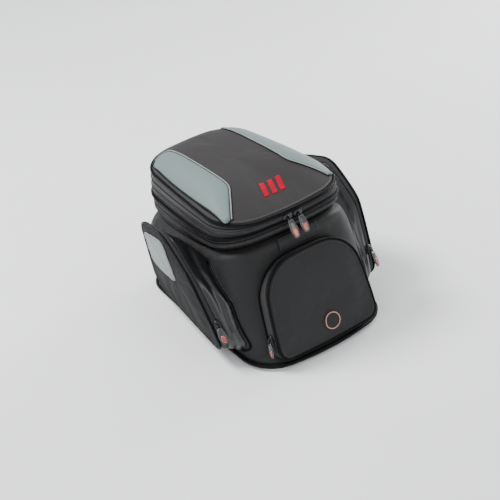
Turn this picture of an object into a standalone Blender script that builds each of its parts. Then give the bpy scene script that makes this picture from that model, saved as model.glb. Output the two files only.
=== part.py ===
"""Motorcycle tank bag, built as separate solids in one frame.

Metres. +X is the rider's right, -Y points to the rider, +Y to the steering head, +Z is up.
The origin is the centre of the bag's footprint, on the plane that it rests on.
Every soft panel is a plain closed solid of the right size and place.
"""

import math

import bmesh
import bpy
import numpy as np
from mathutils import Matrix, Vector
from mathutils.bvhtree import BVHTree

# ------------------------------------------------------------------ driving dimensions
GAP = 0.0004                 # clearance between pieces that touch on the real bag
SEAM = 0.0010                # clearance between neighbouring wall panels
CLING = 0.0012               # clearance of a piece that follows the curved wall
FOAM = 0.004                 # padded wall thickness
BAND = 0.003                 # rim band thickness
TAPE = 0.002                 # thin gusset cloth
PIPING_RADIUS = 0.0019
BINDING_RADIUS = 0.0027
EDGE_STEPS = (7, 6, 5, 6)    # points along the front, right, rear and left edge of a loop
CORNER_STEPS = 5

# Loops seen from above: y of the front and rear edge, half widths there, how far each edge
# bulges (front, sides, rear) and the radius of the front and rear corners.
LID = (-0.101, 0.161, 0.110, 0.083, 0.0146, 0.003, 0.008, 0.058, 0.066)
RIM = (-0.104, 0.164, 0.113, 0.086, 0.0146, 0.003, 0.008, 0.058, 0.066)
NECK = (-0.096, 0.158, 0.105, 0.080, 0.0146, 0.003, 0.008, 0.056, 0.060)
BASE = (-0.162, 0.166, 0.117, 0.095, 0.018, 0.004, 0.010, 0.054, 0.045)
# Body wall: share of the height, then the loop there.
WALL_SECTIONS = (
    (0.00, (-0.152, 0.163, 0.114, 0.092, 0.016, 0.004, 0.010, 0.050, 0.045)),
    (0.25, (-0.146, 0.165, 0.121, 0.097, 0.006, 0.005, 0.010, 0.050, 0.045)),
    (0.50, (-0.130, 0.165, 0.121, 0.098, 0.006, 0.005, 0.010, 0.050, 0.045)),
    (0.75, (-0.119, 0.165, 0.120, 0.097, 0.006, 0.005, 0.010, 0.052, 0.047)),
    (0.88, (-0.113, 0.163, 0.117, 0.093, 0.007, 0.004, 0.009, 0.054, 0.050)),
    (0.95, (-0.107, 0.161, 0.112, 0.087, 0.012, 0.004, 0.009, 0.056, 0.055)),
    (1.00, NECK),
)

# Heights of the rim lines at the rear and the front, and how late they rise to the front.
RIM_REAR_Y, RIM_FRONT_Y = 0.169, -0.117
LID_EDGE_Z = 0.218
MAIN_ZIP_LINE = (0.193, 0.211, 2.6)
MIDDLE_LINE = (0.177, 0.2025, 3.6)
NECK_LINE = (0.134, 0.183, 2.1)
LID_CROWN = 0.028
LID_SIDE_POWER = 4.0         # steep flanks
LID_FRONT_POWER = 1.3        # even slope towards the front
LID_SOFTNESS = 0.15          # rounds the dome's peak
LID_THICKNESS = 0.004

TRAY_HEIGHT, TRAY_FLOOR, TRAY_LIP = 0.0085, 0.006, 0.009
PLATE_THICKNESS = 0.0025
WALL_FOOT_Z = TRAY_FLOOR + PLATE_THICKNESS + 2 * GAP

LOCK_OUTER, LOCK_INNER, LOCK_UNDERSIDE = 0.066, 0.042, 0.0015
LOCK_TOP = TRAY_FLOOR
LOCK_HOLE = 0.069
SCREW_CIRCLE, SCREW_ANGLES = 0.054, (30, 150, 270)
SCREW_SHANK, SCREW_HEAD, SCREW_HEAD_HEIGHT = 0.002, 0.004, 0.002
LATCH_WIDTH, LATCH_Z, LATCH_THICKNESS = 0.018, 0.0025, 0.0024
LATCH_FRONT, LATCH_REAR, STRAP_END = 0.0405, 0.100, 0.1855

# Front pocket: a flat face that leans back, drawn in its own plane (across, up the plane).
POCKET_FOOT = Vector((0.0, -0.1825, 0.014))
POCKET_LEAN = math.radians(18)
POCKET_CORNERS = ((-0.090, 0.004), (0.090, 0.004), (0.077, 0.1455), (-0.077, 0.1455))
POCKET_BOWS = (0.003, 0.004, 0.005, 0.004)
POCKET_RADII = (0.018, 0.018, 0.060, 0.060)
POCKET_CROWN = 0.0025
PANEL_THICKNESS = 0.004
POCKET_ZIP_DEPTH = 0.0065    # how far behind the face the fixed gusset begins
RING_PLACE = (0.010, 0.030)  # emblem ring in the pocket's plane
RING_RADIUS, RING_TUBE = 0.0125, 0.0011

# Side pockets, right one: corners as (y, z) of the outer panel and of its foot on the wall.
SIDE_CORNERS = ((-0.112, 0.026), (-0.064, 0.143), (-0.002, 0.190), (0.090, 0.168), (0.116, 0.028))
SIDE_RADII = (0.018, 0.060, 0.040, 0.035, 0.030)
SIDE_BOWS = (0.002, 0.002, 0.003, 0.002, 0.002)
FOOT_CORNERS = ((-0.130, 0.020), (-0.092, 0.100), (-0.040, 0.148), (0.078, 0.124), (0.103, 0.024))
FOOT_RADII = (0.015, 0.060, 0.020, 0.020, 0.020)
SIDE_X, SIDE_RISE, SIDE_TAPER = 0.126, 0.17, 0.15   # panel plane: x = X + RISE z - TAPER y
SIDE_PANEL = 0.003

HANDLE_HALF, HANDLE_DROP, HANDLE_STRAP = 0.052, 0.050, 0.020
HANDLE_AXIS_Z, HANDLE_Y, HANDLE_THICKNESS = 0.118, 0.1825, 0.006

# Zip slider: a plate with an arch; the pull's crossbar turns in the arch's window.
SLIDER_LENGTH, SLIDER_WIDTH, SLIDER_PLATE = 0.014, 0.010, 0.0026
ARCH_HALF, ARCH_THICKNESS, ARCH_TOP = 0.0034, 0.0018, 0.0066
WINDOW_HALF, WINDOW_TOP = 0.0018, 0.0049
HINGE_HEIGHT, PULL_BAR = 0.0038, 0.00075
EYE_HALF, EYE_REACH = 0.0015, 0.0050

# ------------------------------------------------------------------ scene and materials
for old in list(bpy.data.objects):
    bpy.data.objects.remove(old, do_unlink=True)

PARTS = bpy.data.collections.new("tank_bag")
CUTTERS = bpy.data.collections.new("tank_bag_cutters")
for group in (PARTS, CUTTERS):
    bpy.context.scene.collection.children.link(group)


def material(name, colour, roughness, metallic=0.0):
    made = bpy.data.materials.new(name)
    made.use_nodes = True
    shader = made.node_tree.nodes["Principled BSDF"]
    shader.inputs["Base Color"].default_value = (*colour, 1.0)
    shader.inputs["Roughness"].default_value = roughness
    shader.inputs["Metallic"].default_value = metallic
    return made


FABRIC = material("woven_nylon", (0.045, 0.045, 0.048), 0.85)
LID_FABRIC = material("lid_nylon", (0.065, 0.062, 0.063), 0.85)
GLOSSY_CLOTH = material("coated_nylon", (0.012, 0.012, 0.013), 0.35)
INSERT = material("reflective_insert", (0.30, 0.37, 0.36), 0.5)
LIGHT_TRIM = material("light_trim", (0.45, 0.45, 0.45), 0.5)
PIPING = material("piping", (0.015, 0.015, 0.016), 0.6)
TAPE_CLOTH = material("zip_tape", (0.03, 0.03, 0.032), 0.75)
METAL = material("slider_metal", (0.20, 0.20, 0.21), 0.3, 1.0)
STEEL = material("screw_steel", (0.50, 0.50, 0.50), 0.35, 1.0)
PULL = material("pull_plastic", (0.35, 0.33, 0.33), 0.25)
PLASTIC = material("moulded_plastic", (0.02, 0.02, 0.02), 0.55)
WEBBING = material("webbing", (0.02, 0.02, 0.022), 0.8)
THREAD = material("emblem_thread", (0.80, 0.03, 0.05), 0.6)
COPPER = material("ring_copper", (0.75, 0.35, 0.30), 0.4)


# ------------------------------------------------------------------ outlines
def bulging_edge(start, end, bulge):
    """Centre and radius of the arc from start to end that bulges to the right of its travel."""
    half = (end - start).length / 2
    radius = (half * half + bulge * bulge) / (2 * bulge)
    along = (end - start).normalized()
    outward = Vector((along.y, -along.x))
    return (start + end) / 2 + outward * (bulge - radius), radius


def corner_centre(arc_in, arc_out, fillet, corner):
    """Centre of the fillet that touches both arcs from inside, next to the corner."""
    (first, first_radius), (second, second_radius) = arc_in, arc_out
    reach_first, reach_second = first_radius - fillet, second_radius - fillet
    apart = (second - first).length
    along = (second - first) / apart
    foot = (reach_first ** 2 - reach_second ** 2 + apart ** 2) / (2 * apart)
    rise = math.sqrt(reach_first ** 2 - foot ** 2)
    across = Vector((-along.y, along.x))
    choices = [first + along * foot + across * rise * sign for sign in (1, -1)]
    return min(choices, key=lambda place: (place - corner).length)


def arc_points(centre, start, end, steps):
    """Points on the arc from start towards end, without end."""
    begin = math.atan2(start.y - centre.y, start.x - centre.x)
    turn = math.atan2(end.y - centre.y, end.x - centre.x) - begin
    turn = (turn + math.pi) % (2 * math.pi) - math.pi
    radius = (start - centre).length
    angles = [begin + turn * k / steps for k in range(steps)]
    return [centre + radius * Vector((math.cos(a), math.sin(a))) for a in angles]


def rounded_outline(corners, bulges, radii, edge_steps, corner_steps=CORNER_STEPS):
    """Closed anticlockwise outline with bulging edges and rounded corners."""
    corners = [Vector(corner) for corner in corners]
    count = len(corners)
    arcs = [bulging_edge(corners[i], corners[(i + 1) % count], bulges[i]) for i in range(count)]
    fillets = [corner_centre(arcs[i - 1], arcs[i], radii[i], corners[i]) for i in range(count)]
    points = []
    for i in range(count):
        enter = arcs[i - 1][0] + (fillets[i] - arcs[i - 1][0]).normalized() * arcs[i - 1][1]
        leave = arcs[i][0] + (fillets[i] - arcs[i][0]).normalized() * arcs[i][1]
        following = fillets[(i + 1) % count]
        finish = arcs[i][0] + (following - arcs[i][0]).normalized() * arcs[i][1]
        points += arc_points(fillets[i], enter, leave, corner_steps)
        points += arc_points(arcs[i][0], leave, finish, edge_steps[i])
    return points


def bag_loop(loop, inset=0.0):
    """Outline of the bag seen from above, moved in by inset."""
    front, rear, front_half, rear_half, front_bow, side_bow, rear_bow, front_r, rear_r = loop
    front, rear = front + inset, rear - inset
    front_half, rear_half = front_half - inset, rear_half - inset
    corners = ((-front_half, front), (front_half, front), (rear_half, rear), (-rear_half, rear))
    radii = (front_r - inset, front_r - inset, rear_r - inset, rear_r - inset)
    return rounded_outline(corners, (front_bow, side_bow, rear_bow, side_bow), radii, EDGE_STEPS)


def line_height(line, y):
    """Height of a rim line at y: low at the rear, rising late towards the front."""
    rear_z, front_z, power = line
    share = (RIM_REAR_Y - y) / (RIM_REAR_Y - RIM_FRONT_Y)
    return rear_z + (front_z - rear_z) * min(max(share, 0.0), 1.0) ** power


def raised(outline, height):
    """An outline lifted to a fixed height, or to a height that depends on y."""
    level = height if callable(height) else lambda y: height
    return [Vector((p.x, p.y, level(p.y))) for p in outline]


def outline_normals(outline):
    """Outward unit normals of an anticlockwise outline."""
    count = len(outline)
    sides = [outline[(i + 1) % count] - outline[i - 1] for i in range(count)]
    return [Vector((side.y, -side.x)).normalized() for side in sides]


def inset_outline(outline, distance):
    return [p - n * distance for p, n in zip(outline, outline_normals(outline))]


# ------------------------------------------------------------------ solids
def add_part(name, mesh, finish, group=PARTS):
    made = bpy.data.objects.new(name, mesh)
    group.objects.link(made)
    made.data.materials.append(finish)
    return made


def cap(shape, ring, laced):
    """Closes a ring with one face or, when laced, with a strip that joins its two halves."""
    if not laced:
        shape.faces.new(ring)
        return
    count = len(ring)
    for i in range(count // 2 - 1):
        shape.faces.new((ring[i], ring[i + 1], ring[count - 2 - i], ring[count - 1 - i]))


def skin(name, loops, finish, wrap=False, laced=False):
    """Closed solid through loops of equal length: wrapped round, or capped at both ends."""
    mesh = bpy.data.meshes.new(name)
    shape = bmesh.new()
    rings = [[shape.verts.new(point) for point in loop] for loop in loops]
    pairs = list(zip(rings, rings[1:]))
    if wrap:
        pairs.append((rings[-1], rings[0]))
    else:
        cap(shape, rings[0], laced)
        cap(shape, rings[-1], laced)
    for lower, upper in pairs:
        for i in range(len(lower)):
            following = (i + 1) % len(lower)
            shape.faces.new((lower[i], lower[following], upper[following], upper[i]))
    bmesh.ops.recalc_face_normals(shape, faces=shape.faces)
    shape.to_mesh(mesh)
    shape.free()
    return add_part(name, mesh, finish)


def tube(name, points, radius, finish, cyclic=True, sides_step=1):
    """Piping: a curve with a round bevel through the points."""
    curve = bpy.data.curves.new(name, "CURVE")
    curve.dimensions = "3D"
    curve.bevel_depth = radius
    curve.bevel_resolution = sides_step
    curve.use_fill_caps = True
    curve.render_resolution_u = 0
    spline = curve.splines.new("POLY")
    spline.points.add(len(points) - 1)
    for knot, point in zip(spline.points, points):
        knot.co = (*point, 1.0)
    spline.use_cyclic_u = cyclic
    return add_part(name, curve, finish)


def block(name, size, frame, finish, rounding=0.0, group=PARTS):
    """Box of the given size centred in the given frame."""
    mesh = bpy.data.meshes.new(name)
    shape = bmesh.new()
    bmesh.ops.create_cube(shape, size=1.0, matrix=Matrix.Diagonal((*size, 1.0)))
    shape.to_mesh(mesh)
    shape.free()
    made = add_part(name, mesh, finish, group)
    made.matrix_world = frame
    if rounding:
        bevel = made.modifiers.new("rounding", "BEVEL")
        bevel.width = rounding
        bevel.segments = 1
    return made


def cylinder(name, radius, low, high, centre, finish, segments=48, group=PARTS):
    mesh = bpy.data.meshes.new(name)
    shape = bmesh.new()
    bmesh.ops.create_cone(shape, cap_ends=True, segments=segments, radius1=radius,
                          radius2=radius, depth=high - low)
    shape.to_mesh(mesh)
    shape.free()
    made = add_part(name, mesh, finish, group)
    made.location = (centre[0], centre[1], (low + high) / 2)
    return made


def cut(target, cutter):
    cutter.hide_render = True
    cutter.display_type = "WIRE"
    boolean = target.modifiers.new("cut_" + cutter.name, "BOOLEAN")
    boolean.operation = "DIFFERENCE"
    boolean.solver = "EXACT"
    boolean.object = cutter


def join_to(target, extra):
    """Boolean union with a helper solid that isn't a part of its own."""
    extra.hide_render = True
    extra.display_type = "WIRE"
    boolean = target.modifiers.new("join_" + extra.name, "BOOLEAN")
    boolean.operation = "UNION"
    boolean.solver = "EXACT"
    boolean.object = extra


def frame_of(origin, x_axis, z_axis):
    """Matrix with its X along x_axis and its Z as near to z_axis as that allows."""
    x_axis = x_axis.normalized()
    y_axis = z_axis.cross(x_axis).normalized()
    z_axis = x_axis.cross(y_axis)
    turn = Matrix((x_axis, y_axis, z_axis)).transposed().to_4x4()
    return Matrix.Translation(origin) @ turn


# ------------------------------------------------------------------ body wall surface
def wall_grid():
    """Rows of outer wall points, foot to neck, as an array (row, column, xyz)."""
    rows = []
    for share, loop in WALL_SECTIONS:
        outline = bag_loop(loop)
        rows.append([(p.x, p.y, WALL_FOOT_Z + share * (line_height(NECK_LINE, p.y) - WALL_FOOT_Z))
                     for p in outline])
    return np.array(rows)


def surface_normals(grid):
    """Outward unit normals of a grid whose columns close round the bag."""
    across = np.roll(grid, -1, axis=1) - np.roll(grid, 1, axis=1)
    upward = np.gradient(grid, axis=0)
    normals = np.cross(across, upward)
    return normals / np.linalg.norm(normals, axis=2, keepdims=True)


WALL = wall_grid()
WALL_INSIDE = WALL - FOAM * surface_normals(WALL)
WALL_INSIDE[0, :, 2] = WALL[0, :, 2]
WALL_INSIDE[-1, :, 2] = np.minimum(WALL_INSIDE[-1, :, 2], WALL[-1, :, 2])
COLUMNS = WALL.shape[1]


def wall_tree():
    """Search tree of the outer wall, for points that lie on it."""
    rows, columns = WALL.shape[:2]
    faces = [(r * columns + c, r * columns + (c + 1) % columns,
              (r + 1) * columns + (c + 1) % columns, (r + 1) * columns + c)
             for r in range(rows - 1) for c in range(columns)]
    return BVHTree.FromPolygons([Vector(p) for p in WALL.reshape(-1, 3)], faces)


WALL_TREE = wall_tree()


def on_wall(start, direction, clearance=CLING):
    """Where a ray from outside meets the wall, kept off it by the clearance."""
    direction = direction.normalized()
    hit, normal, _, _ = WALL_TREE.ray_cast(start, direction)
    return hit + normal * math.copysign(clearance, -normal.dot(direction))


def wall_panel(name, first, last, finish):
    """Padded panel of the wall between two columns, with a seam gap at both ends."""
    columns = [c % COLUMNS for c in range(first, last + 1)]
    outer, inner = WALL[:, columns].copy(), WALL_INSIDE[:, columns].copy()
    for surface in (outer, inner):
        for end, neighbour in ((0, 1), (-1, -2)):
            step = surface[:, neighbour] - surface[:, end]
            length = np.linalg.norm(step, axis=1, keepdims=True)
            surface[:, end] += step / length * SEAM / 2
    profiles = [list(outer[:, c]) + list(inner[::-1, c]) for c in range(len(columns))]
    return skin(name, profiles, finish, laced=True)


def wall_patch(name, columns, direction, thickness, finish):
    """Patch sewn on the wall; columns are rows of points outside it, cast along direction."""
    profiles = []
    for column in columns:
        outer = [on_wall(p, direction, CLING + thickness) for p in column]
        inner = [on_wall(p, direction, CLING) for p in column]
        profiles.append(outer + inner[::-1])
    return skin(name, profiles, finish, laced=True)


def rim_band(name, bottom, top, finish, thickness=BAND, proud=0.0):
    """Ring-shaped wall between two loops, each given as (loop, height)."""
    outer_bottom = raised(bag_loop(bottom[0], -proud), bottom[1])
    outer_top = raised(bag_loop(top[0], -proud), top[1])
    inner_top = raised(bag_loop(top[0], thickness), top[1])
    inner_bottom = raised(bag_loop(bottom[0], thickness), bottom[1])
    return skin(name, [outer_bottom, outer_top, inner_top, inner_bottom], finish, wrap=True)


def rim_height(line, offset=0.0):
    return lambda y: line_height(line, y) + offset


def zip_split(offset):
    """Height of the expansion zip, halfway between the neck and the middle line."""
    return lambda y: (line_height(NECK_LINE, y) + line_height(MIDDLE_LINE, y)) / 2 + offset


# ------------------------------------------------------------------ base and lock
def build_base():
    outline = bag_loop(BASE)
    inner = bag_loop(BASE, TRAY_LIP)
    tray = skin("base_tray", [raised(outline, 0.0), raised(outline, TRAY_HEIGHT),
                              raised(inner, TRAY_HEIGHT), raised(inner, TRAY_FLOOR)], PLASTIC)
    cut(tray, cylinder("lock_opening", LOCK_HOLE, -0.01, 0.02, (0, 0), PLASTIC, group=CUTTERS))
    groove_height = LATCH_Z + LATCH_THICKNESS + GAP
    groove = Vector((0, (LOCK_HOLE + BASE[1]) / 2, groove_height - 0.01))
    groove_size = (LATCH_WIDTH + 0.002, BASE[1] - LOCK_HOLE + 0.04, 0.02)
    cut(tray, block("strap_groove", groove_size, Matrix.Translation(groove), PLASTIC,
                    group=CUTTERS))

    plate_outline = bag_loop(BASE, TRAY_LIP + GAP)
    low = TRAY_FLOOR + GAP
    plate = skin("base_plate", [raised(plate_outline, low),
                                raised(plate_outline, low + PLATE_THICKNESS)], PLASTIC)
    ring = cylinder("lock_ring", LOCK_OUTER, LOCK_UNDERSIDE, LOCK_TOP, (0, 0), PLASTIC)
    cut(ring, cylinder("lock_bore", LOCK_INNER, -0.01, 0.02, (0, 0), PLASTIC, group=CUTTERS))
    slot = Vector((0, (LOCK_INNER + LOCK_OUTER) / 2, LATCH_Z + LATCH_THICKNESS / 2))
    slot_size = (LATCH_WIDTH + 4 * GAP, 0.03, LATCH_THICKNESS + 2 * GAP)
    cut(ring, block("latch_slot", slot_size, Matrix.Translation(slot), PLASTIC, group=CUTTERS))

    head_low = LOCK_UNDERSIDE + GAP / 2
    for number, degrees in enumerate(SCREW_ANGLES, start=1):
        angle = math.radians(degrees)
        centre = (SCREW_CIRCLE * math.cos(angle), SCREW_CIRCLE * math.sin(angle))
        head_top = head_low + SCREW_HEAD_HEIGHT
        seat = cylinder(f"screw_seat_{number}", SCREW_HEAD + GAP, -0.01, head_top + GAP, centre,
                        STEEL, 16, CUTTERS)
        hole = cylinder(f"screw_hole_{number}", SCREW_SHANK + GAP, -0.01, 0.02, centre,
                        STEEL, 12, CUTTERS)
        cut(ring, seat)
        cut(ring, hole)
        cut(plate, hole)
        screw = cylinder(f"lock_screw_{number}", SCREW_HEAD, head_low, head_top, centre, STEEL, 16)
        shank = cylinder(f"screw_shank_{number}", SCREW_SHANK, head_low + SCREW_HEAD_HEIGHT / 2,
                         low + PLATE_THICKNESS - GAP, centre, STEEL, 12, CUTTERS)
        join_to(screw, shank)

    middle_z = LATCH_Z + LATCH_THICKNESS / 2
    latch_size = (LATCH_WIDTH, LATCH_REAR - LATCH_FRONT, LATCH_THICKNESS)
    latch_place = Matrix.Translation((0, (LATCH_FRONT + LATCH_REAR) / 2, middle_z))
    block("release_latch", latch_size, latch_place, PLASTIC, 0.0004)
    strap_front = LATCH_REAR + GAP
    strap_size = (LATCH_WIDTH - 0.002, STRAP_END - strap_front, LATCH_THICKNESS * 0.7)
    strap_place = Matrix.Translation((0, (STRAP_END + strap_front) / 2, middle_z))
    block("release_strap", strap_size, strap_place, WEBBING)

    binding = raised(bag_loop(BASE, -BINDING_RADIUS - GAP), TRAY_HEIGHT - BINDING_RADIUS / 2)
    tube("base_binding", binding, BINDING_RADIUS, PIPING)


# ------------------------------------------------------------------ walls and rim
def build_walls():
    front_end = CORNER_STEPS * 2 + EDGE_STEPS[0]
    right_end = front_end + EDGE_STEPS[1]
    rear_end = right_end + CORNER_STEPS * 2 + EDGE_STEPS[2]
    wall_panel("front_panel", 0, front_end, FABRIC)
    wall_panel("side_panel_right", front_end, right_end, FABRIC)
    wall_panel("rear_panel", right_end, rear_end, FABRIC)
    wall_panel("side_panel_left", rear_end, COLUMNS, FABRIC)


def build_rim():
    reach = PIPING_RADIUS + GAP
    tube("rim_piping", raised(bag_loop(NECK), rim_height(NECK_LINE, reach)), PIPING_RADIUS, PIPING)
    rim_band("expansion_zip_lower", (NECK, rim_height(NECK_LINE, 2 * reach)),
             (RIM, zip_split(0.0)), TAPE_CLOTH)
    rim_band("expansion_zip_upper", (RIM, zip_split(GAP)), (RIM, rim_height(MIDDLE_LINE)),
             TAPE_CLOTH)
    tube("middle_piping", raised(bag_loop(RIM, -reach), rim_height(MIDDLE_LINE, -GAP)),
         PIPING_RADIUS, PIPING)
    zip_foot = 0.005
    rim_band("middle_band", (RIM, rim_height(MIDDLE_LINE, GAP)),
             (RIM, rim_height(MAIN_ZIP_LINE, -zip_foot)), FABRIC)
    rim_band("main_zip", (RIM, rim_height(MAIN_ZIP_LINE, GAP - zip_foot)),
             (RIM, rim_height(MAIN_ZIP_LINE, -GAP)), TAPE_CLOTH, proud=0.0006)


# ------------------------------------------------------------------ lid
LID_EDGE = bag_loop(LID)
LID_CENTRE = Vector((0.0, (LID[0] + LID[1]) / 2))


def lid_height(x, y):
    """Height of the lid's domed top: steep flanks, an even slope towards the front."""
    ray = Vector((x, y)) - LID_CENTRE
    if ray.length < 1e-6:
        return LID_EDGE_Z + LID_CROWN
    angle = math.atan2(ray.y, ray.x)
    bearings = [math.atan2(p.y - LID_CENTRE.y, p.x - LID_CENTRE.x) for p in LID_EDGE]
    reaches = [(p - LID_CENTRE).length for p in LID_EDGE]
    order = np.argsort(bearings)
    reach = np.interp(angle, np.array(bearings)[order], np.array(reaches)[order],
                      period=2 * math.pi)
    soft = math.hypot(min(ray.length / reach, 1.0), LID_SOFTNESS) - LID_SOFTNESS
    share = soft / (math.hypot(1.0, LID_SOFTNESS) - LID_SOFTNESS)
    forward = max(0.0, -ray.y / ray.length) ** 3
    power = LID_SIDE_POWER + (LID_FRONT_POWER - LID_SIDE_POWER) * forward
    return LID_EDGE_Z + LID_CROWN * (1 - share ** power)


def lid_patch(name, outline, lift, thickness, finish):
    """Thin solid that follows the dome, lying lift above it."""
    middle = sum(outline, Vector((0, 0))) / len(outline)
    loops = []
    shares = (0.15, 0.4, 0.6, 0.8, 1.0)
    for height, order in ((lift + thickness, shares), (lift, shares[::-1])):
        for share in order:
            ring = [middle + (p - middle) * share for p in outline]
            loops.append([Vector((p.x, p.y, lid_height(p.x, p.y) + height)) for p in ring])
    return skin(name, loops, finish)


def insert_outline(side):
    """Light insert along one side of the lid: straight inside, the lid's edge outside."""
    corners = ((-0.0995, -0.0868), (-0.0905, -0.0872), (-0.0553, -0.0361), (-0.0520, 0.1370),
               (-0.0800, 0.1375))
    outline = rounded_outline(corners, (0.0002, 0.0002, 0.0005, 0.0005, 0.005),
                              (0.004, 0.003, 0.034, 0.012, 0.014), (1, 3, 10, 2, 12), 3)
    if side > 0:
        outline = [Vector((-p.x, p.y)) for p in reversed(outline)]
    return outline


def build_lid():
    shares = (1.0, 0.94, 0.86, 0.75, 0.6, 0.4, 0.18)
    edge = bag_loop(LID, 0.0006)
    outer = [[Vector((*(LID_CENTRE + (p - LID_CENTRE) * s), 0)) for p in edge] for s in shares]
    for ring in outer:
        for point in ring:
            point.z = lid_height(point.x, point.y)
    inner = [[p - Vector((0, 0, LID_THICKNESS)) for p in ring] for ring in outer]
    skin("lid_shell", list(reversed(outer)) + inner, LID_FABRIC)
    skirt_top = LID_EDGE_Z - LID_THICKNESS - GAP
    rim_band("lid_skirt", (RIM, rim_height(MAIN_ZIP_LINE, GAP)), (LID, skirt_top), LID_FABRIC)
    tube("lid_piping", raised(bag_loop(LID, -PIPING_RADIUS - GAP), LID_EDGE_Z - 0.001),
         PIPING_RADIUS, PIPING)
    pocket = bag_loop(LID, 0.006)
    skin("lid_mesh_pocket", [raised(pocket, 0.2115), raised(pocket, 0.2125)], TAPE_CLOTH)
    lift = 0.0015
    for side, word in ((-1, "left"), (1, "right")):
        outline = insert_outline(side)
        lid_patch(f"lid_insert_{word}", outline, lift, 0.0012, INSERT)
        rim = inset_outline(outline, -0.0023)
        points = [Vector((p.x, p.y, lid_height(p.x, p.y) + lift + 0.0020)) for p in rim]
        tube(f"lid_insert_piping_{word}", points, 0.0012, LIGHT_TRIM, sides_step=0)
    emblem = rounded_outline(((-0.022, -0.084), (0.022, -0.084), (0.022, -0.052), (-0.022, -0.052)),
                             (0.0003,) * 4, (0.004,) * 4, (2, 2, 2, 2), 2)
    lid_patch("lid_emblem", emblem, lift, 0.0008, THREAD)
    strip_y = RIM[1] + RIM[6] + GAP
    strip = Matrix.Translation((0, strip_y + 0.0015, 0.1855))
    block("lid_hinge_strip", (0.060, 0.0012, 0.0130), strip, FABRIC)


# ------------------------------------------------------------------ front pocket
POCKET_UP = Vector((0, math.sin(POCKET_LEAN), math.cos(POCKET_LEAN)))
POCKET_OUT = Vector((0, -math.cos(POCKET_LEAN), math.sin(POCKET_LEAN)))


def pocket_point(across, up, out):
    return POCKET_FOOT + Vector((across, 0, 0)) + POCKET_UP * up + POCKET_OUT * out


def in_pocket_plane(outline, out):
    return [pocket_point(p.x, p.y, out) for p in outline]


POCKET_OUTLINE = rounded_outline(POCKET_CORNERS, POCKET_BOWS, POCKET_RADII, (5, 5, 3, 5), 5)


def domed_panel(name, outline, place, crown, thickness, finish):
    """Panel with a slightly raised middle; place maps (across, up, out) to space."""
    middle = sum(outline, Vector((0, 0))) / len(outline)
    loops = []
    for share, base in ((0.35, 0.0), (0.75, 0.0), (1.0, 0.0), (1.0, -thickness), (0.35, -thickness)):
        ring = [middle + (p - middle) * share for p in outline]
        rise = crown * (1 - share ** 2) if base == 0.0 else 0.0
        loops.append([place(p.x, p.y, base + rise) for p in ring])
    return skin(name, loops, finish)


def build_front_pocket():
    panel_outline = inset_outline(POCKET_OUTLINE, PIPING_RADIUS + GAP)
    domed_panel("front_pocket_panel", panel_outline, pocket_point, POCKET_CROWN,
                PANEL_THICKNESS, FABRIC)
    tube("front_pocket_piping", in_pocket_plane(POCKET_OUTLINE, -0.0015), PIPING_RADIUS, PIPING)
    fixed = in_pocket_plane(POCKET_OUTLINE, -POCKET_ZIP_DEPTH)
    inside = in_pocket_plane(inset_outline(POCKET_OUTLINE, TAPE), -POCKET_ZIP_DEPTH)
    on_outer = [on_wall(p, -POCKET_OUT) for p in fixed]
    on_inner = [on_wall(p, -POCKET_OUT) for p in inside]
    skin("front_pocket_gusset", [fixed, on_outer, on_inner, inside], TAPE_CLOTH, wrap=True)
    ring_height = POCKET_CROWN + GAP + RING_TUBE
    steps = 24
    turns = [2 * math.pi * k / steps for k in range(steps)]
    ring = [pocket_point(RING_PLACE[0] + RING_RADIUS * math.cos(a),
                         RING_PLACE[1] + RING_RADIUS * math.sin(a), ring_height) for a in turns]
    tube("front_pocket_ring", ring, RING_TUBE, COPPER, sides_step=0)
    half, steps = 0.036, 6
    sides = [-half + 2 * half * k / steps for k in range(steps + 1)]
    columns = [[Vector((x, -0.2, z)) for z in (0.2255, 0.2305, 0.2355, 0.2405)] for x in sides]
    wall_patch("front_patch", columns, Vector((0, 1, -0.8)), 0.0012, TAPE_CLOTH)


# ------------------------------------------------------------------ side pockets
def side_plane(y, z, out=0.0):
    return Vector((SIDE_X + SIDE_RISE * z - SIDE_TAPER * y + out, y, z))


def mirrored(points, side):
    """Points of the right pocket, or their mirror image for the left one."""
    return [Vector((p.x * side, p.y, p.z)) for p in points]


def side_outline(corners, radii):
    """Closed outline in (y, z); it runs anticlockwise, so its corners are listed backwards."""
    ordered = list(reversed(corners))
    bulges = [SIDE_BOWS[0]] * len(ordered)
    return rounded_outline(ordered, bulges, list(reversed(radii)), (4,) * len(ordered), 4)


SIDE_OUTLINE = side_outline(SIDE_CORNERS, SIDE_RADII)
FOOT_OUTLINE = side_outline(FOOT_CORNERS, FOOT_RADII)


def foot_point(p):
    return on_wall(Vector((0.3, p.x, p.y)), Vector((-1, 0, 0)))


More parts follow.
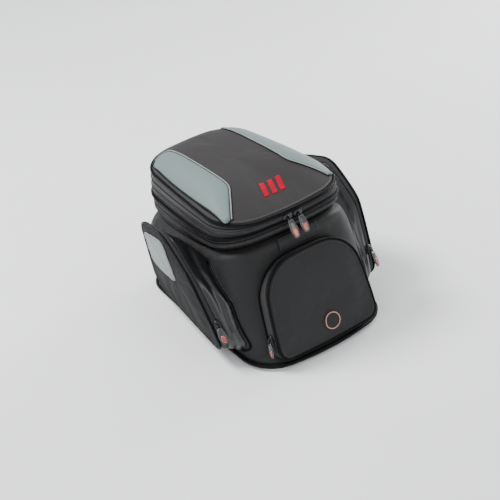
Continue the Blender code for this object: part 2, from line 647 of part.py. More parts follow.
def build_side_pocket(side, word):
    panel = inset_outline(SIDE_OUTLINE, PIPING_RADIUS + GAP)
    middle = sum(panel, Vector((0, 0))) / len(panel)
    loops = []
    for share, out in ((0.4, 0.002), (1.0, 0.0), (1.0, -SIDE_PANEL), (0.4, -SIDE_PANEL)):
        ring = [middle + (p - middle) * share for p in panel]
        loops.append(mirrored([side_plane(p.x, p.y, out) for p in ring], side))
    skin(f"side_pocket_panel_{word}", loops, FABRIC)
    piping = mirrored([side_plane(p.x, p.y, -0.001) for p in SIDE_OUTLINE], side)
    tube(f"side_pocket_piping_{word}", piping, PIPING_RADIUS, PIPING)

    gusset_edge = [side_plane(p.x, p.y, -0.0045) for p in SIDE_OUTLINE]
    gusset_inner = [side_plane(p.x, p.y, -0.0045) for p in inset_outline(SIDE_OUTLINE, TAPE)]
    foot_outer = [foot_point(p) for p in FOOT_OUTLINE]
    foot_inner = [foot_point(p) for p in inset_outline(FOOT_OUTLINE, TAPE)]
    bands = [gusset_edge, foot_outer, foot_inner, gusset_inner]
    skin(f"side_pocket_gusset_{word}", [mirrored(band, side) for band in bands], GLOSSY_CLOTH,
         wrap=True)

    insert = side_outline(((-0.030, 0.075), (-0.012, 0.160), (0.010, 0.172), (0.080, 0.152),
                           (0.092, 0.090)), (0.010, 0.015, 0.020, 0.015, 0.015))
    faces = [[side_plane(p.x, p.y, 0.0024 + out) for p in insert] for out in (0.001, 0.0)]
    skin(f"side_pocket_insert_{word}", [mirrored(face, side) for face in faces], INSERT)

    seam = [p for p in FOOT_OUTLINE if p.x < -0.034 and 0.026 < p.y < 0.150]
    seam.sort(key=lambda p: p.y)
    forward = 0.0065
    points = [on_wall(Vector((0.3, p.x - forward, p.y)), Vector((-1, 0, 0)),
                      PIPING_RADIUS * 0.8 + GAP * 2) for p in seam]
    tube(f"front_seam_piping_{word}", mirrored(points, side), PIPING_RADIUS * 0.8, PIPING,
         cyclic=False)


# ------------------------------------------------------------------ zip sliders and pulls
def build_slider(name, foot, hinge_axis, outward, along_axis):
    """Slider body on the surface at foot: a plate with an arch that the pull's eye hangs in.

    Returns the point of the pull's hinge axis, which runs through the arch.
    """
    frame = frame_of(foot, hinge_axis, outward)
    size = (SLIDER_WIDTH, SLIDER_LENGTH, SLIDER_PLATE)
    if along_axis:
        size = (SLIDER_LENGTH, SLIDER_WIDTH, SLIDER_PLATE)
    plate = block(name, size, frame @ Matrix.Translation((0, 0, SLIDER_PLATE / 2)), METAL, 0.0008)
    arch_height = ARCH_TOP - SLIDER_PLATE / 2
    arch_frame = frame @ Matrix.Translation((0, 0, (ARCH_TOP + SLIDER_PLATE / 2) / 2))
    arch = block(name + "_arch", (ARCH_THICKNESS, 2 * ARCH_HALF, arch_height), arch_frame, METAL,
                 group=CUTTERS)
    window_frame = frame @ Matrix.Translation((0, 0, (SLIDER_PLATE + WINDOW_TOP) / 2))
    window = block(name + "_window", (0.01, 2 * WINDOW_HALF, WINDOW_TOP - SLIDER_PLATE),
                   window_frame, METAL, group=CUTTERS)
    cut(arch, window)
    join_to(plate, arch)
    return frame @ Vector((0, 0, HINGE_HEIGHT))


def build_pull(name, hinge_point, hinge_axis, hang, length, width):
    """Drop-shaped pull tab whose eye goes through the slider's arch."""
    facing = hinge_axis.cross(hang).normalized()
    frame = frame_of(hinge_point, hang.cross(facing), facing)
    eye_half, shoulder = 0.0034, length * 0.62
    corners = ((-eye_half, -PULL_BAR), (eye_half, -PULL_BAR), (width / 2, shoulder),
               (width * 0.28, length), (-width * 0.28, length), (-width / 2, shoulder))
    outline = rounded_outline(corners, (0.0001,) * 6, (0.0006, 0.0006, 0.006, 0.002, 0.002, 0.006),
                              (1,) * 6, 2)
    loops = [[frame @ Vector((p.x, p.y, z)) for p in outline] for z in (-PULL_BAR, PULL_BAR)]
    pull = skin(name, loops, PULL)
    eye_frame = frame @ Matrix.Translation((0, (PULL_BAR + EYE_REACH) / 2, 0))
    cut(pull, block(name + "_eye", (2 * EYE_HALF, EYE_REACH - PULL_BAR, 0.01), eye_frame, PULL,
                    group=CUTTERS))


def front_arc():
    """Centre y and radius of the rim's front edge seen from above."""
    half, bulge = RIM[2], RIM[4]
    radius = (half * half + bulge * bulge) / (2 * bulge)
    return RIM[0] - bulge + radius, radius


def build_main_sliders():
    centre_y, radius = front_arc()
    stand_off = 0.0014
    for word, x, length in (("left", -0.014, 0.031), ("right", 0.004, 0.029)):
        angle = math.asin(x / radius)
        outward = Vector((math.sin(angle), -math.cos(angle), 0))
        tangent = Vector((math.cos(angle), math.sin(angle), 0))
        foot = Vector((0, centre_y, MAIN_ZIP_LINE[1] - 0.002)) + outward * (radius + stand_off)
        hinge = build_slider(f"main_slider_{word}", foot, tangent, outward, True)
        lean = math.radians(34)
        hang = outward * math.sin(lean) - Vector((0, 0, math.cos(lean)))
        build_pull(f"main_pull_{word}", hinge, tangent, hang, length, 0.0115)


def build_pocket_slider():
    """Slider at the lower left of the front pocket's zip, with its pull hanging down."""
    across, up = POCKET_CORNERS[0][0] - 0.0010, 0.040
    foot = pocket_point(across, up, -POCKET_ZIP_DEPTH - 0.005) + Vector((-0.0012, 0, 0))
    outward = Vector((-1, 0, 0)) + POCKET_UP * 0.11
    axis = POCKET_UP.cross(outward)
    hinge = build_slider("front_pocket_slider", foot, axis, outward, False)
    hang = -POCKET_UP + outward * 0.10
    build_pull("front_pocket_pull", hinge, axis, hang, 0.026, 0.0095)


def build_side_slider(side, word):
    low, high = Vector(SIDE_CORNERS[0]), Vector(SIDE_CORNERS[1])
    path = side_plane(high.x, high.y) - side_plane(low.x, low.y)
    foot_low, foot_high = Vector(FOOT_CORNERS[0]), Vector(FOOT_CORNERS[1])
    share = 0.42
    edge = side_plane(*low.lerp(high, share), -0.0045)
    foot = foot_point(foot_low.lerp(foot_high, share))
    inward = (foot - edge).normalized()
    outward = inward.cross(path).normalized()
    if outward.y > 0:
        outward = -outward
    place = edge + inward * 0.009 + outward * 0.0050
    flip = Matrix.Diagonal((side, 1, 1))
    place, path, outward = flip @ place, (flip @ path).normalized(), flip @ outward
    axis = path.cross(outward)
    hinge = build_slider(f"side_pocket_slider_{word}", place, axis, outward, False)
    hang = -path + outward * 0.20
    build_pull(f"side_pocket_pull_{word}", hinge, axis, hang, 0.028, 0.0105)


def build_expansion_slider():
    """Slider of the expansion zip, parked on the right side near the rear."""
    heights = zip_split(0.0)
    side = [p for p in bag_loop(RIM) if p.x > 0 and 0.0 < p.y < 0.09]
    low, high = min(side, key=lambda p: p.y), max(side, key=lambda p: p.y)
    start = Vector((high.x, high.y, heights(high.y)))
    path = (Vector((low.x, low.y, heights(low.y))) - start).normalized()
    outward = path.cross(Vector((0, 0, 1))).normalized()
    if outward.x < 0:
        outward = -outward
    foot = start + outward * 0.0012
    hinge = build_slider("expansion_slider", foot, path, outward, True)
    hang = Vector((0, 0, -1)) + outward * 0.05
    hang -= path * hang.dot(path)
    build_pull("expansion_pull", hinge, path, hang, 0.024, 0.0095)


# ------------------------------------------------------------------ carry handle
def build_handle():
    half, drop, strap = HANDLE_HALF, HANDLE_DROP, HANDLE_STRAP
    outer = rounded_outline(((-half, -drop), (half, -drop), (half, 0.006), (-half, 0.006)),
                            (0.0002,) * 4, (0.022, 0.022, 0.003, 0.003), (3, 2, 3, 2), 4)
    frame = Matrix.Translation((0, HANDLE_Y, HANDLE_AXIS_Z))
    loops = [[frame @ Vector((p.x, y, p.y)) for p in outer]
             for y in (-HANDLE_THICKNESS / 2, HANDLE_THICKNESS / 2)]
    handle = skin("carry_handle", loops, WEBBING)
    gap_top, gap_bottom = 0.02, strap - drop
    gap_frame = frame @ Matrix.Translation((0, 0, (gap_top + gap_bottom) / 2))
    gap_size = (2 * (half - strap), 0.03, gap_top - gap_bottom)
    cut(handle, block("handle_gap", gap_size, gap_frame, WEBBING, group=CUTTERS))
    for side, word in ((-1, "left"), (1, "right")):
        centre = side * (half - strap / 2)
        columns = [[Vector((centre + across, 0.3, HANDLE_AXIS_Z + up))
                    for up in (-0.012, -0.006, 0.0, 0.005, 0.010)]
                   for across in (-0.009, 0.0, 0.009)]
        wall_patch(f"handle_anchor_{word}", columns, Vector((0, -1, 0)), 0.0015, WEBBING)


build_base()
build_walls()
build_rim()
build_lid()
build_front_pocket()
for hand, hand_word in ((-1, "left"), (1, "right")):
    build_side_pocket(hand, hand_word)
    build_side_slider(hand, hand_word)
build_main_sliders()
build_pocket_slider()
build_expansion_slider()
build_handle()
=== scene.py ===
"""Looks of a motorcycle tank bag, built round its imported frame. Metres, +Z up, -Y to the rider."""

import math

import bmesh
import bpy
import numpy as np
from mathutils import Matrix, Vector, noise
from mathutils.bvhtree import BVHTree


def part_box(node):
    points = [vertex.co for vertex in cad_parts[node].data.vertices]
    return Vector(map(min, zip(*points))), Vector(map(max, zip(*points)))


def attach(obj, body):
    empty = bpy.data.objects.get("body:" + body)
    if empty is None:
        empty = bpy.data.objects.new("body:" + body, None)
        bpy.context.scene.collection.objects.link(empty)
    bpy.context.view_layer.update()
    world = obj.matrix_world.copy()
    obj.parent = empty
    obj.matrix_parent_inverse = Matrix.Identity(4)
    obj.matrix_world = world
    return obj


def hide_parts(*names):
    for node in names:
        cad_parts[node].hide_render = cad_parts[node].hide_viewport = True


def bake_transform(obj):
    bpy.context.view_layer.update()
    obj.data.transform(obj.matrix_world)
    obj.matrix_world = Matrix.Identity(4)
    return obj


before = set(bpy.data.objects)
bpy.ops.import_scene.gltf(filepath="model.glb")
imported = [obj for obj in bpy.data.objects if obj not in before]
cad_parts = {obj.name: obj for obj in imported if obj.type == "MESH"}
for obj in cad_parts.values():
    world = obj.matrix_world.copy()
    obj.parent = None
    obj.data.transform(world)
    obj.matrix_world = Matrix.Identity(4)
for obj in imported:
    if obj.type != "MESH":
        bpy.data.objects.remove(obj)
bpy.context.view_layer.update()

# ------------------------------------------------------------------ the bag's own dimensions
# Outline from above: y of front and rear edge, half widths there, how far the edges bulge
# (front, sides, rear) and the corner radii (front, rear).
LID = (-0.101, 0.161, 0.110, 0.083, 0.0146, 0.003, 0.008, 0.058, 0.066)
RIM = (-0.104, 0.164, 0.113, 0.086, 0.0146, 0.003, 0.008, 0.058, 0.066)
NECK = (-0.096, 0.158, 0.105, 0.080, 0.0146, 0.003, 0.008, 0.056, 0.060)
BASE = (-0.162, 0.166, 0.117, 0.095, 0.018, 0.004, 0.010, 0.054, 0.045)
WALL_SECTIONS = (
    (0.00, (-0.152, 0.163, 0.114, 0.092, 0.016, 0.004, 0.010, 0.050, 0.045)),
    (0.25, (-0.146, 0.165, 0.121, 0.097, 0.006, 0.005, 0.010, 0.050, 0.045)),
    (0.50, (-0.130, 0.165, 0.121, 0.098, 0.006, 0.005, 0.010, 0.050, 0.045)),
    (0.75, (-0.119, 0.165, 0.120, 0.097, 0.006, 0.005, 0.010, 0.052, 0.047)),
    (0.88, (-0.113, 0.163, 0.117, 0.093, 0.007, 0.004, 0.009, 0.054, 0.050)),
    (0.95, (-0.107, 0.161, 0.112, 0.087, 0.012, 0.004, 0.009, 0.056, 0.055)),
    (1.00, NECK),
)
RIM_REAR_Y, RIM_FRONT_Y = 0.169, -0.117
# Rim lines: height at the rear, at the front, and how late the line rises to the front.
MAIN_ZIP_LINE = (0.193, 0.211, 2.6)
MIDDLE_LINE = (0.177, 0.2025, 3.6)
NECK_LINE = (0.134, 0.183, 2.1)
LID_EDGE_Z, LID_THICKNESS = 0.218, 0.004
LID_CROWN, LID_SIDE_POWER, LID_FRONT_POWER, LID_SOFTNESS = 0.028, 4.0, 1.3, 0.15
WALL_FOOT_Z, FOAM, TAPE = 0.0093, 0.004, 0.002
PIPING_R, BINDING_R = 0.0019, 0.0027

POCKET_FOOT = Vector((0.0, -0.1825, 0.014))
POCKET_LEAN = math.radians(18)
POCKET_CORNERS = ((-0.090, 0.004), (0.090, 0.004), (0.077, 0.1455), (-0.077, 0.1455))
POCKET_BOWS = (0.003, 0.004, 0.005, 0.004)
POCKET_RADII = (0.018, 0.018, 0.060, 0.060)
RING_PLACE, RING_RADIUS = (0.008, 0.030), 0.0125

SIDE_CORNERS = ((-0.112, 0.026), (-0.064, 0.143), (-0.002, 0.190), (0.090, 0.168), (0.116, 0.028))
SIDE_RADII = (0.018, 0.060, 0.040, 0.035, 0.030)
FOOT_CORNERS = ((-0.130, 0.020), (-0.092, 0.100), (-0.040, 0.148), (0.078, 0.124), (0.103, 0.024))
FOOT_RADII = (0.015, 0.060, 0.020, 0.020, 0.020)
SIDE_X, SIDE_RISE, SIDE_TAPER, SIDE_BOW = 0.126, 0.17, 0.15, 0.002

# ------------------------------------------------------------------ camera, light and floor
CAMERA_AZIMUTH, CAMERA_ELEVATION, CAMERA_ROLL = (math.radians(a) for a in (-32.4, 31.8, -7.1))
CAMERA_DISTANCE, CAMERA_LENS = 2.323, 108


def place_camera():
    """Looks at the bag from the rider's left, slightly rolled, as a photographer would stand."""
    a, e, r = CAMERA_AZIMUTH, CAMERA_ELEVATION, CAMERA_ROLL
    back = Vector((math.sin(a) * math.cos(e), -math.cos(a) * math.cos(e), math.sin(e)))
    level = Vector((math.cos(a), math.sin(a), 0))
    upright = back.cross(level)
    right = level * math.cos(r) + upright * math.sin(r)
    up = upright * math.cos(r) - level * math.sin(r)
    target = Vector((0, 0.016, 0.1)) + right * 0.003 - up * 0.013
    data = bpy.data.cameras.new("camera")
    data.lens = CAMERA_LENS
    camera = bpy.data.objects.new("camera", data)
    bpy.context.scene.collection.objects.link(camera)
    turn = Matrix((right, up, back)).transposed().to_4x4()
    camera.matrix_world = Matrix.Translation(target + back * CAMERA_DISTANCE) @ turn
    bpy.context.scene.camera = camera


def area_light(name, place, size, power, colour=(1, 1, 1), aim=(0, 0, 0.12)):
    data = bpy.data.lights.new(name, "AREA")
    data.shape, data.size, data.energy, data.color = "DISK", size, power, colour
    lamp = bpy.data.objects.new(name, data)
    bpy.context.scene.collection.objects.link(lamp)
    lamp.location = place
    lamp.rotation_euler = (Vector(aim) - Vector(place)).to_track_quat("-Z", "Y").to_euler()


def build_studio():
    area_light("key", (-0.8, 0.9, 1.9), 0.8, 62)
    area_light("fill", (-1.6, -1.0, 1.3), 1.3, 9)
    area_light("front", (0.6, -2.0, 0.9), 1.2, 8)
    area_light("rim", (1.7, 0.3, 0.8), 1.0, 26)
    world = bpy.data.worlds.new("studio")
    world.use_nodes = True
    world.node_tree.nodes["Background"].inputs["Color"].default_value = (0.86, 0.88, 0.9, 1)
    world.node_tree.nodes["Background"].inputs["Strength"].default_value = 0.95
    bpy.context.scene.world = world
    bpy.ops.mesh.primitive_plane_add(size=12, location=(0, 0, -0.0002))
    floor = bpy.context.object
    floor.name = "studio_floor"
    paper = new_material("studio_paper", (0.90, 0.905, 0.91), 0.9)
    mottle(paper, 3.0, 0.02)
    floor.data.materials.append(paper)


# ------------------------------------------------------------------ materials
def new_material(name, colour, roughness, **inputs):
    """Principled material; inputs are set on the shader's own sockets."""
    made = bpy.data.materials.new(name)
    made.use_nodes = True
    shader = made.node_tree.nodes["Principled BSDF"]
    shader.inputs["Base Color"].default_value = (*colour, 1.0)
    shader.inputs["Roughness"].default_value = roughness
    for key, value in inputs.items():
        shader.inputs[key.replace("_", " ")].default_value = value
    return made


def node(made, kind, **settings):
    found = made.node_tree.nodes.new("ShaderNode" + kind)
    for key, value in settings.items():
        if key in found.inputs:
            found.inputs[key].default_value = value
        else:
            setattr(found, key, value)
    return found


def link(made, source, target):
    made.node_tree.links.new(source, target)


def maths(made, operation, first, second=None):
    """Output of a math node; an argument is a socket or a number."""
    found = node(made, "Math", operation=operation)
    for slot_index, value in enumerate((first, second)):
        if value is None:
            continue
        if isinstance(value, (int, float)):
            found.inputs[slot_index].default_value = value
        else:
            link(made, value, found.inputs[slot_index])
    return found.outputs[0]


def tint(made, factor, low, high):
    """Colours the base between two multiples of its colour, by a 0 to 1 factor."""
    shader = made.node_tree.nodes["Principled BSDF"]
    base = shader.inputs["Base Color"]
    mixer = node(made, "Mix", data_type="RGBA")
    colour = base.default_value[:3]
    mixer.inputs[6].default_value = (*[c * low for c in colour], 1)
    mixer.inputs[7].default_value = (*[c * high for c in colour], 1)
    link(made, factor, mixer.inputs[0])
    link(made, mixer.outputs[2], base)


def surface_point(made):
    return node(made, "TexCoord").outputs["Object"]


def mottle(made, scale, amount, coordinate=None):
    """Faint cloudy variation of colour; returns the noise socket."""
    cloud = node(made, "TexNoise", Scale=scale, Detail=4.0, Roughness=0.6)
    link(made, coordinate or surface_point(made), cloud.inputs["Vector"])
    tint(made, cloud.outputs["Fac"], 1 - amount * 2, 1 + amount * 2)
    return cloud.outputs["Fac"]


def sine_of(made, axis_socket, pitch):
    return maths(made, "SINE", maths(made, "MULTIPLY", axis_socket, 2 * math.pi / pitch))


def bump(made, height, strength, distance, after=None):
    found = node(made, "Bump", Strength=strength, Distance=distance)
    link(made, height, found.inputs["Height"])
    if after is not None:
        link(made, after, found.inputs["Normal"])
    link(made, found.outputs["Normal"], made.node_tree.nodes["Principled BSDF"].inputs["Normal"])
    return found.outputs["Normal"]


FLECK_SCALE = 430.0          # flecks of a few threads each


def woven(name, colour, roughness, pitch=0.0011, depth=0.00022, contrast=0.3, slub=0.25, **inputs):
    """Plain weave along the piece's own u and v, in metres, with uneven threads and soft wear."""
    made = new_material(name, colour, roughness, **inputs)
    grid = node(made, "UVMap", uv_map="cloth").outputs["UV"]
    axes = node(made, "SeparateXYZ")
    link(made, grid, axes.inputs[0])
    warp = sine_of(made, axes.outputs[0], pitch * 2)
    weft = sine_of(made, axes.outputs[1], pitch * 2)
    checker = maths(made, "MULTIPLY", warp, weft)
    ribs = maths(made, "ADD", maths(made, "ABSOLUTE", warp), maths(made, "ABSOLUTE", weft))
    thread = maths(made, "ADD", maths(made, "MULTIPLY", checker, 0.5),
                   maths(made, "MULTIPLY", ribs, 0.35))
    stretch = node(made, "Mapping")
    stretch.inputs["Scale"].default_value = (1.0, 0.12, 1.0)
    link(made, grid, stretch.inputs["Vector"])
    uneven = node(made, "TexNoise", Scale=0.9 / pitch, Detail=2.0)
    link(made, stretch.outputs[0], uneven.inputs["Vector"])
    wear = node(made, "TexNoise", Scale=14.0, Detail=5.0, Roughness=0.65)
    link(made, surface_point(made), wear.inputs["Vector"])
    fleck = node(made, "TexNoise", Scale=FLECK_SCALE, Detail=1.0)
    link(made, surface_point(made), fleck.inputs["Vector"])
    patches = maths(made, "ADD", maths(made, "MULTIPLY", fleck.outputs["Fac"], slub * 2),
                    maths(made, "MULTIPLY", wear.outputs["Fac"], 0.55))
    factor = maths(made, "ADD", maths(made, "MULTIPLY", thread, contrast),
                   maths(made, "ADD", maths(made, "MULTIPLY", uneven.outputs["Fac"], slub), patches))
    tint(made, factor, 0.45, 1.1)
    height = maths(made, "ADD", thread, maths(made, "MULTIPLY", uneven.outputs["Fac"], 0.6))
    raised = bump(made, height, 0.55, depth)
    bump(made, fleck.outputs["Fac"], 0.4, depth * 2, raised)
    return made


def ribbed(name, colour, roughness, pitch=0.0012, depth=0.00025, **inputs):
    """Tape or webbing: fine ribs across its length (u), and a little fuzz."""
    made = new_material(name, colour, roughness, **inputs)
    axes = node(made, "SeparateXYZ")
    link(made, node(made, "UVMap", uv_map="cloth").outputs["UV"], axes.inputs[0])
    ribs = sine_of(made, axes.outputs[0], pitch)
    cross = sine_of(made, axes.outputs[1], pitch * 1.7)
    height = maths(made, "ADD", ribs, maths(made, "MULTIPLY", cross, 0.4))
    fuzz = node(made, "TexNoise", Scale=90.0, Detail=3.0)
    link(made, surface_point(made), fuzz.inputs["Vector"])
    factor = maths(made, "ADD", maths(made, "MULTIPLY", height, 0.18), fuzz.outputs["Fac"])
    tint(made, factor, 0.7, 1.3)
    bump(made, height, 0.5, depth)
    return made


def coated(name, colour, roughness, **inputs):
    """Smooth coated cloth: fine grain, uneven gloss and small creases."""
    made = new_material(name, colour, roughness, **inputs)
    point = surface_point(made)
    creases = node(made, "TexNoise", Scale=38.0, Detail=6.0, Roughness=0.62, Distortion=1.2)
    link(made, point, creases.inputs["Vector"])
    grain = node(made, "TexNoise", Scale=900.0, Detail=2.0)
    link(made, point, grain.inputs["Vector"])
    tint(made, creases.outputs["Fac"], 0.7, 1.3)
    gloss = node(made, "MapRange")
    gloss.inputs["To Min"].default_value = roughness * 0.75
    gloss.inputs["To Max"].default_value = roughness * 1.25
    link(made, creases.outputs["Fac"], gloss.inputs["Value"])
    link(made, gloss.outputs[0], made.node_tree.nodes["Principled BSDF"].inputs["Roughness"])
    soft = bump(made, creases.outputs["Fac"], 0.3, 0.0009)
    bump(made, grain.outputs["Fac"], 0.25, 0.0001, soft)
    return made


def brushed(name, colour, roughness, scale=240.0, **inputs):
    """Metal or moulded plastic: fine scratches or grain and a slightly uneven finish."""
    made = new_material(name, colour, roughness, **inputs)
    grain = node(made, "TexNoise", Scale=scale, Detail=4.0)
    link(made, surface_point(made), grain.inputs["Vector"])
    tint(made, grain.outputs["Fac"], 0.8, 1.2)
    spread = node(made, "MapRange")
    spread.inputs["To Min"].default_value = roughness * 0.8
    spread.inputs["To Max"].default_value = min(1.0, roughness * 1.2)
    link(made, grain.outputs["Fac"], spread.inputs["Value"])
    link(made, spread.outputs[0], made.node_tree.nodes["Principled BSDF"].inputs["Roughness"])
    bump(made, grain.outputs["Fac"], 0.2, 0.0001)
    return made


SHEEN = {"Sheen_Weight": 0.04, "Sheen_Roughness": 0.4, "Specular_IOR_Level": 0.25}
BODY_CLOTH = woven("body_weave", (0.0100, 0.0100, 0.0106), 0.52, contrast=0.45, slub=0.6, **SHEEN)
# Darker copy of the body weave for the side pockets' faces: painted shade, for faces that turn away from the
# light.
SHADED_SIDE_CLOTH = woven("side_weave_painted_shade", (0.0055, 0.0055, 0.0060), 0.72, contrast=0.45, slub=0.6,
                   Specular_IOR_Level=0.16)
LID_CLOTH = woven("lid_weave", (0.0215, 0.0195, 0.0203), 0.74, pitch=0.0010, contrast=0.45, slub=0.6, **SHEEN)
INSERT_CLOTH = woven("insert_weave", (0.104, 0.150, 0.145), 0.55, pitch=0.0009, contrast=0.25,
                     slub=0.4, Sheen_Weight=0.15)
GLOSSY = coated("coated_cloth", (0.009, 0.009, 0.010), 0.32, Coat_Weight=0.25, Coat_Roughness=0.25)
LINING = woven("lining_cloth", (0.045, 0.045, 0.048), 0.85, pitch=0.0008)
MESH_CLOTH = woven("mesh_cloth", (0.03, 0.03, 0.032), 0.8, pitch=0.0016, contrast=0.6)
TAPE_CLOTH = ribbed("zip_tape", (0.021, 0.021, 0.022), 0.6, **SHEEN)
BAND_CLOTH = ribbed("band_tape", (0.030, 0.030, 0.031), 0.55, pitch=0.0009, **SHEEN)
DARK_BAND = ribbed("dark_band", (0.016, 0.016, 0.017), 0.6, pitch=0.0009, **SHEEN)
WEBBING = ribbed("strap_webbing", (0.014, 0.014, 0.015), 0.78, pitch=0.0018, depth=0.0005, **SHEEN)
PIPE_CLOTH = ribbed("piping_cloth", (0.0022, 0.0022, 0.0025), 0.42, pitch=0.0008, Specular_IOR_Level=0.10)
LIGHT_PIPE = ribbed("light_piping", (0.25, 0.26, 0.26), 0.5, pitch=0.0008, Sheen_Weight=0.1)
COIL = brushed("zip_coil", (0.050, 0.050, 0.052), 0.32, 500.0)
THREAD = ribbed("sewing_thread", (0.040, 0.040, 0.042), 0.6, pitch=0.0004)
RED_THREAD = ribbed("emblem_thread", (0.42, 0.002, 0.022), 0.8, pitch=0.0005, Specular_IOR_Level=0.08)
COPPER_THREAD = ribbed("ring_thread", (0.60, 0.25, 0.21), 0.5, pitch=0.0005, Sheen_Weight=0.2)
SLIDER_METAL = brushed("slider_metal", (0.045, 0.045, 0.048), 0.22, Metallic=1.0)
PULL_METAL = brushed("pull_plate", (0.12, 0.117, 0.117), 0.2, Metallic=1.0)
PULL_COPPER = brushed("pull_tip", (0.40, 0.115, 0.10), 0.22, Metallic=0.7, Coat_Weight=0.5)
PULL_CLEAR = brushed("pull_clear", (0.022, 0.021, 0.021), 0.12, 60.0, Coat_Weight=0.8,
                     Coat_Roughness=0.08)
MOULDED = brushed("moulded_black", (0.016, 0.016, 0.017), 0.5, 700.0)
STEEL = brushed("screw_steel", (0.42, 0.42, 0.43), 0.3, Metallic=1.0)


# ------------------------------------------------------------------ outlines
def bulging_edge(start, end, bulge):
    """Centre and radius of the arc from start to end that bulges to the right of its travel."""
    half = (end - start).length / 2
    radius = (half * half + bulge * bulge) / (2 * bulge)
    along = (end - start).normalized()
    outward = Vector((along.y, -along.x))
    return (start + end) / 2 + outward * (bulge - radius), radius


def corner_centre(arc_in, arc_out, fillet, corner):
    """Centre of the fillet that touches both arcs from inside, next to the corner."""
    (first, first_radius), (second, second_radius) = arc_in, arc_out
    reach_first, reach_second = first_radius - fillet, second_radius - fillet
    apart = (second - first).length
    along = (second - first) / apart
    foot = (reach_first ** 2 - reach_second ** 2 + apart ** 2) / (2 * apart)
    rise = math.sqrt(reach_first ** 2 - foot ** 2)
    across = Vector((-along.y, along.x))
    choices = [first + along * foot + across * rise * sign for sign in (1, -1)]
    return min(choices, key=lambda place: (place - corner).length)


def arc_points(centre, start, end, steps):
    """Points on the arc from start towards end, without end."""
    begin = math.atan2(start.y - centre.y, start.x - centre.x)
    turn = math.atan2(end.y - centre.y, end.x - centre.x) - begin
    turn = (turn + math.pi) % (2 * math.pi) - math.pi
    radius = (start - centre).length
    angles = [begin + turn * k / steps for k in range(steps)]
    return [centre + radius * Vector((math.cos(a), math.sin(a))) for a in angles]


def rounded_outline(corners, bulges, radii, edge_steps, corner_steps):
    """Closed anticlockwise outline with bulging edges and rounded corners, as an (n, 2) array."""
    corners = [Vector(corner) for corner in corners]
    count = len(corners)
    arcs = [bulging_edge(corners[i], corners[(i + 1) % count], bulges[i]) for i in range(count)]
    fillets = [corner_centre(arcs[i - 1], arcs[i], radii[i], corners[i]) for i in range(count)]
    points = []
    for i in range(count):
        enter = arcs[i - 1][0] + (fillets[i] - arcs[i - 1][0]).normalized() * arcs[i - 1][1]
        leave = arcs[i][0] + (fillets[i] - arcs[i][0]).normalized() * arcs[i][1]
        following = fillets[(i + 1) % count]
        finish = arcs[i][0] + (following - arcs[i][0]).normalized() * arcs[i][1]
        points += arc_points(fillets[i], enter, leave, corner_steps)
        points += arc_points(arcs[i][0], leave, finish, edge_steps[i])
    return np.array([tuple(p) for p in points])


EDGE_STEPS, CORNER_STEPS = (42, 44, 24, 44), 16
FRONT_END = CORNER_STEPS * 2 + EDGE_STEPS[0]
RIGHT_END = FRONT_END + EDGE_STEPS[1]
REAR_END = RIGHT_END + CORNER_STEPS * 2 + EDGE_STEPS[2]


def bag_loop(loop, inset=0.0):
    """Dense outline of the bag seen from above, moved in by inset; it starts at the front left."""
    front, rear, front_half, rear_half, front_bow, side_bow, rear_bow, front_r, rear_r = loop
    front, rear = front + inset, rear - inset
    front_half, rear_half = front_half - inset, rear_half - inset
    corners = ((-front_half, front), (front_half, front), (rear_half, rear), (-rear_half, rear))
    radii = (front_r - inset, front_r - inset, rear_r - inset, rear_r - inset)
    return rounded_outline(corners, (front_bow, side_bow, rear_bow, side_bow), radii, EDGE_STEPS,
                           CORNER_STEPS)


def line_height(line, y):
    """Height of a rim line at y (number or array): low at the rear, rising late to the front."""
    rear_z, front_z, power = line
    share = np.clip((RIM_REAR_Y - y) / (RIM_REAR_Y - RIM_FRONT_Y), 0.0, 1.0)
    return rear_z + (front_z - rear_z) * share ** power


def zip_split(y):
    return (line_height(NECK_LINE, y) + line_height(MIDDLE_LINE, y)) / 2


def lift(outline, height):
    """(n, 2) outline to (n, 3) points; height is a number, an array or a function of y."""
    level = height(outline[:, 1]) if callable(height) else height
    return np.column_stack([outline, np.broadcast_to(level, len(outline))])


def flat_normals(outline):
    """Outward unit normals of a closed anticlockwise outline in its plane."""
    side = np.roll(outline, -1, axis=0) - np.roll(outline, 1, axis=0)
    out = np.column_stack([side[:, 1], -side[:, 0]])
    return out / np.linalg.norm(out, axis=1, keepdims=True)


def inset_outline(outline, distance):
    return outline - distance * flat_normals(outline)


def closed(points):
    return np.vstack([points, points[:1]])


def along(points):
    """Running length at each point of a line."""
    steps = np.linalg.norm(np.diff(points, axis=0), axis=1)
    return np.concatenate([[0.0], np.cumsum(steps)])


def unwrapped(corner_uv, starts, period, axis):
    """Keeps a face that closes a ring from spanning the whole ring in u or v."""
    values = corner_uv[:, axis]
    low, high = np.minimum.reduceat(values, starts), np.maximum.reduceat(values, starts)
    counts = np.diff(np.append(starts, len(values)))
    spans = np.repeat(high - low > period / 2, counts)
    corner_uv[:, axis] = np.where(spans & (values < period / 2), values + period, values)


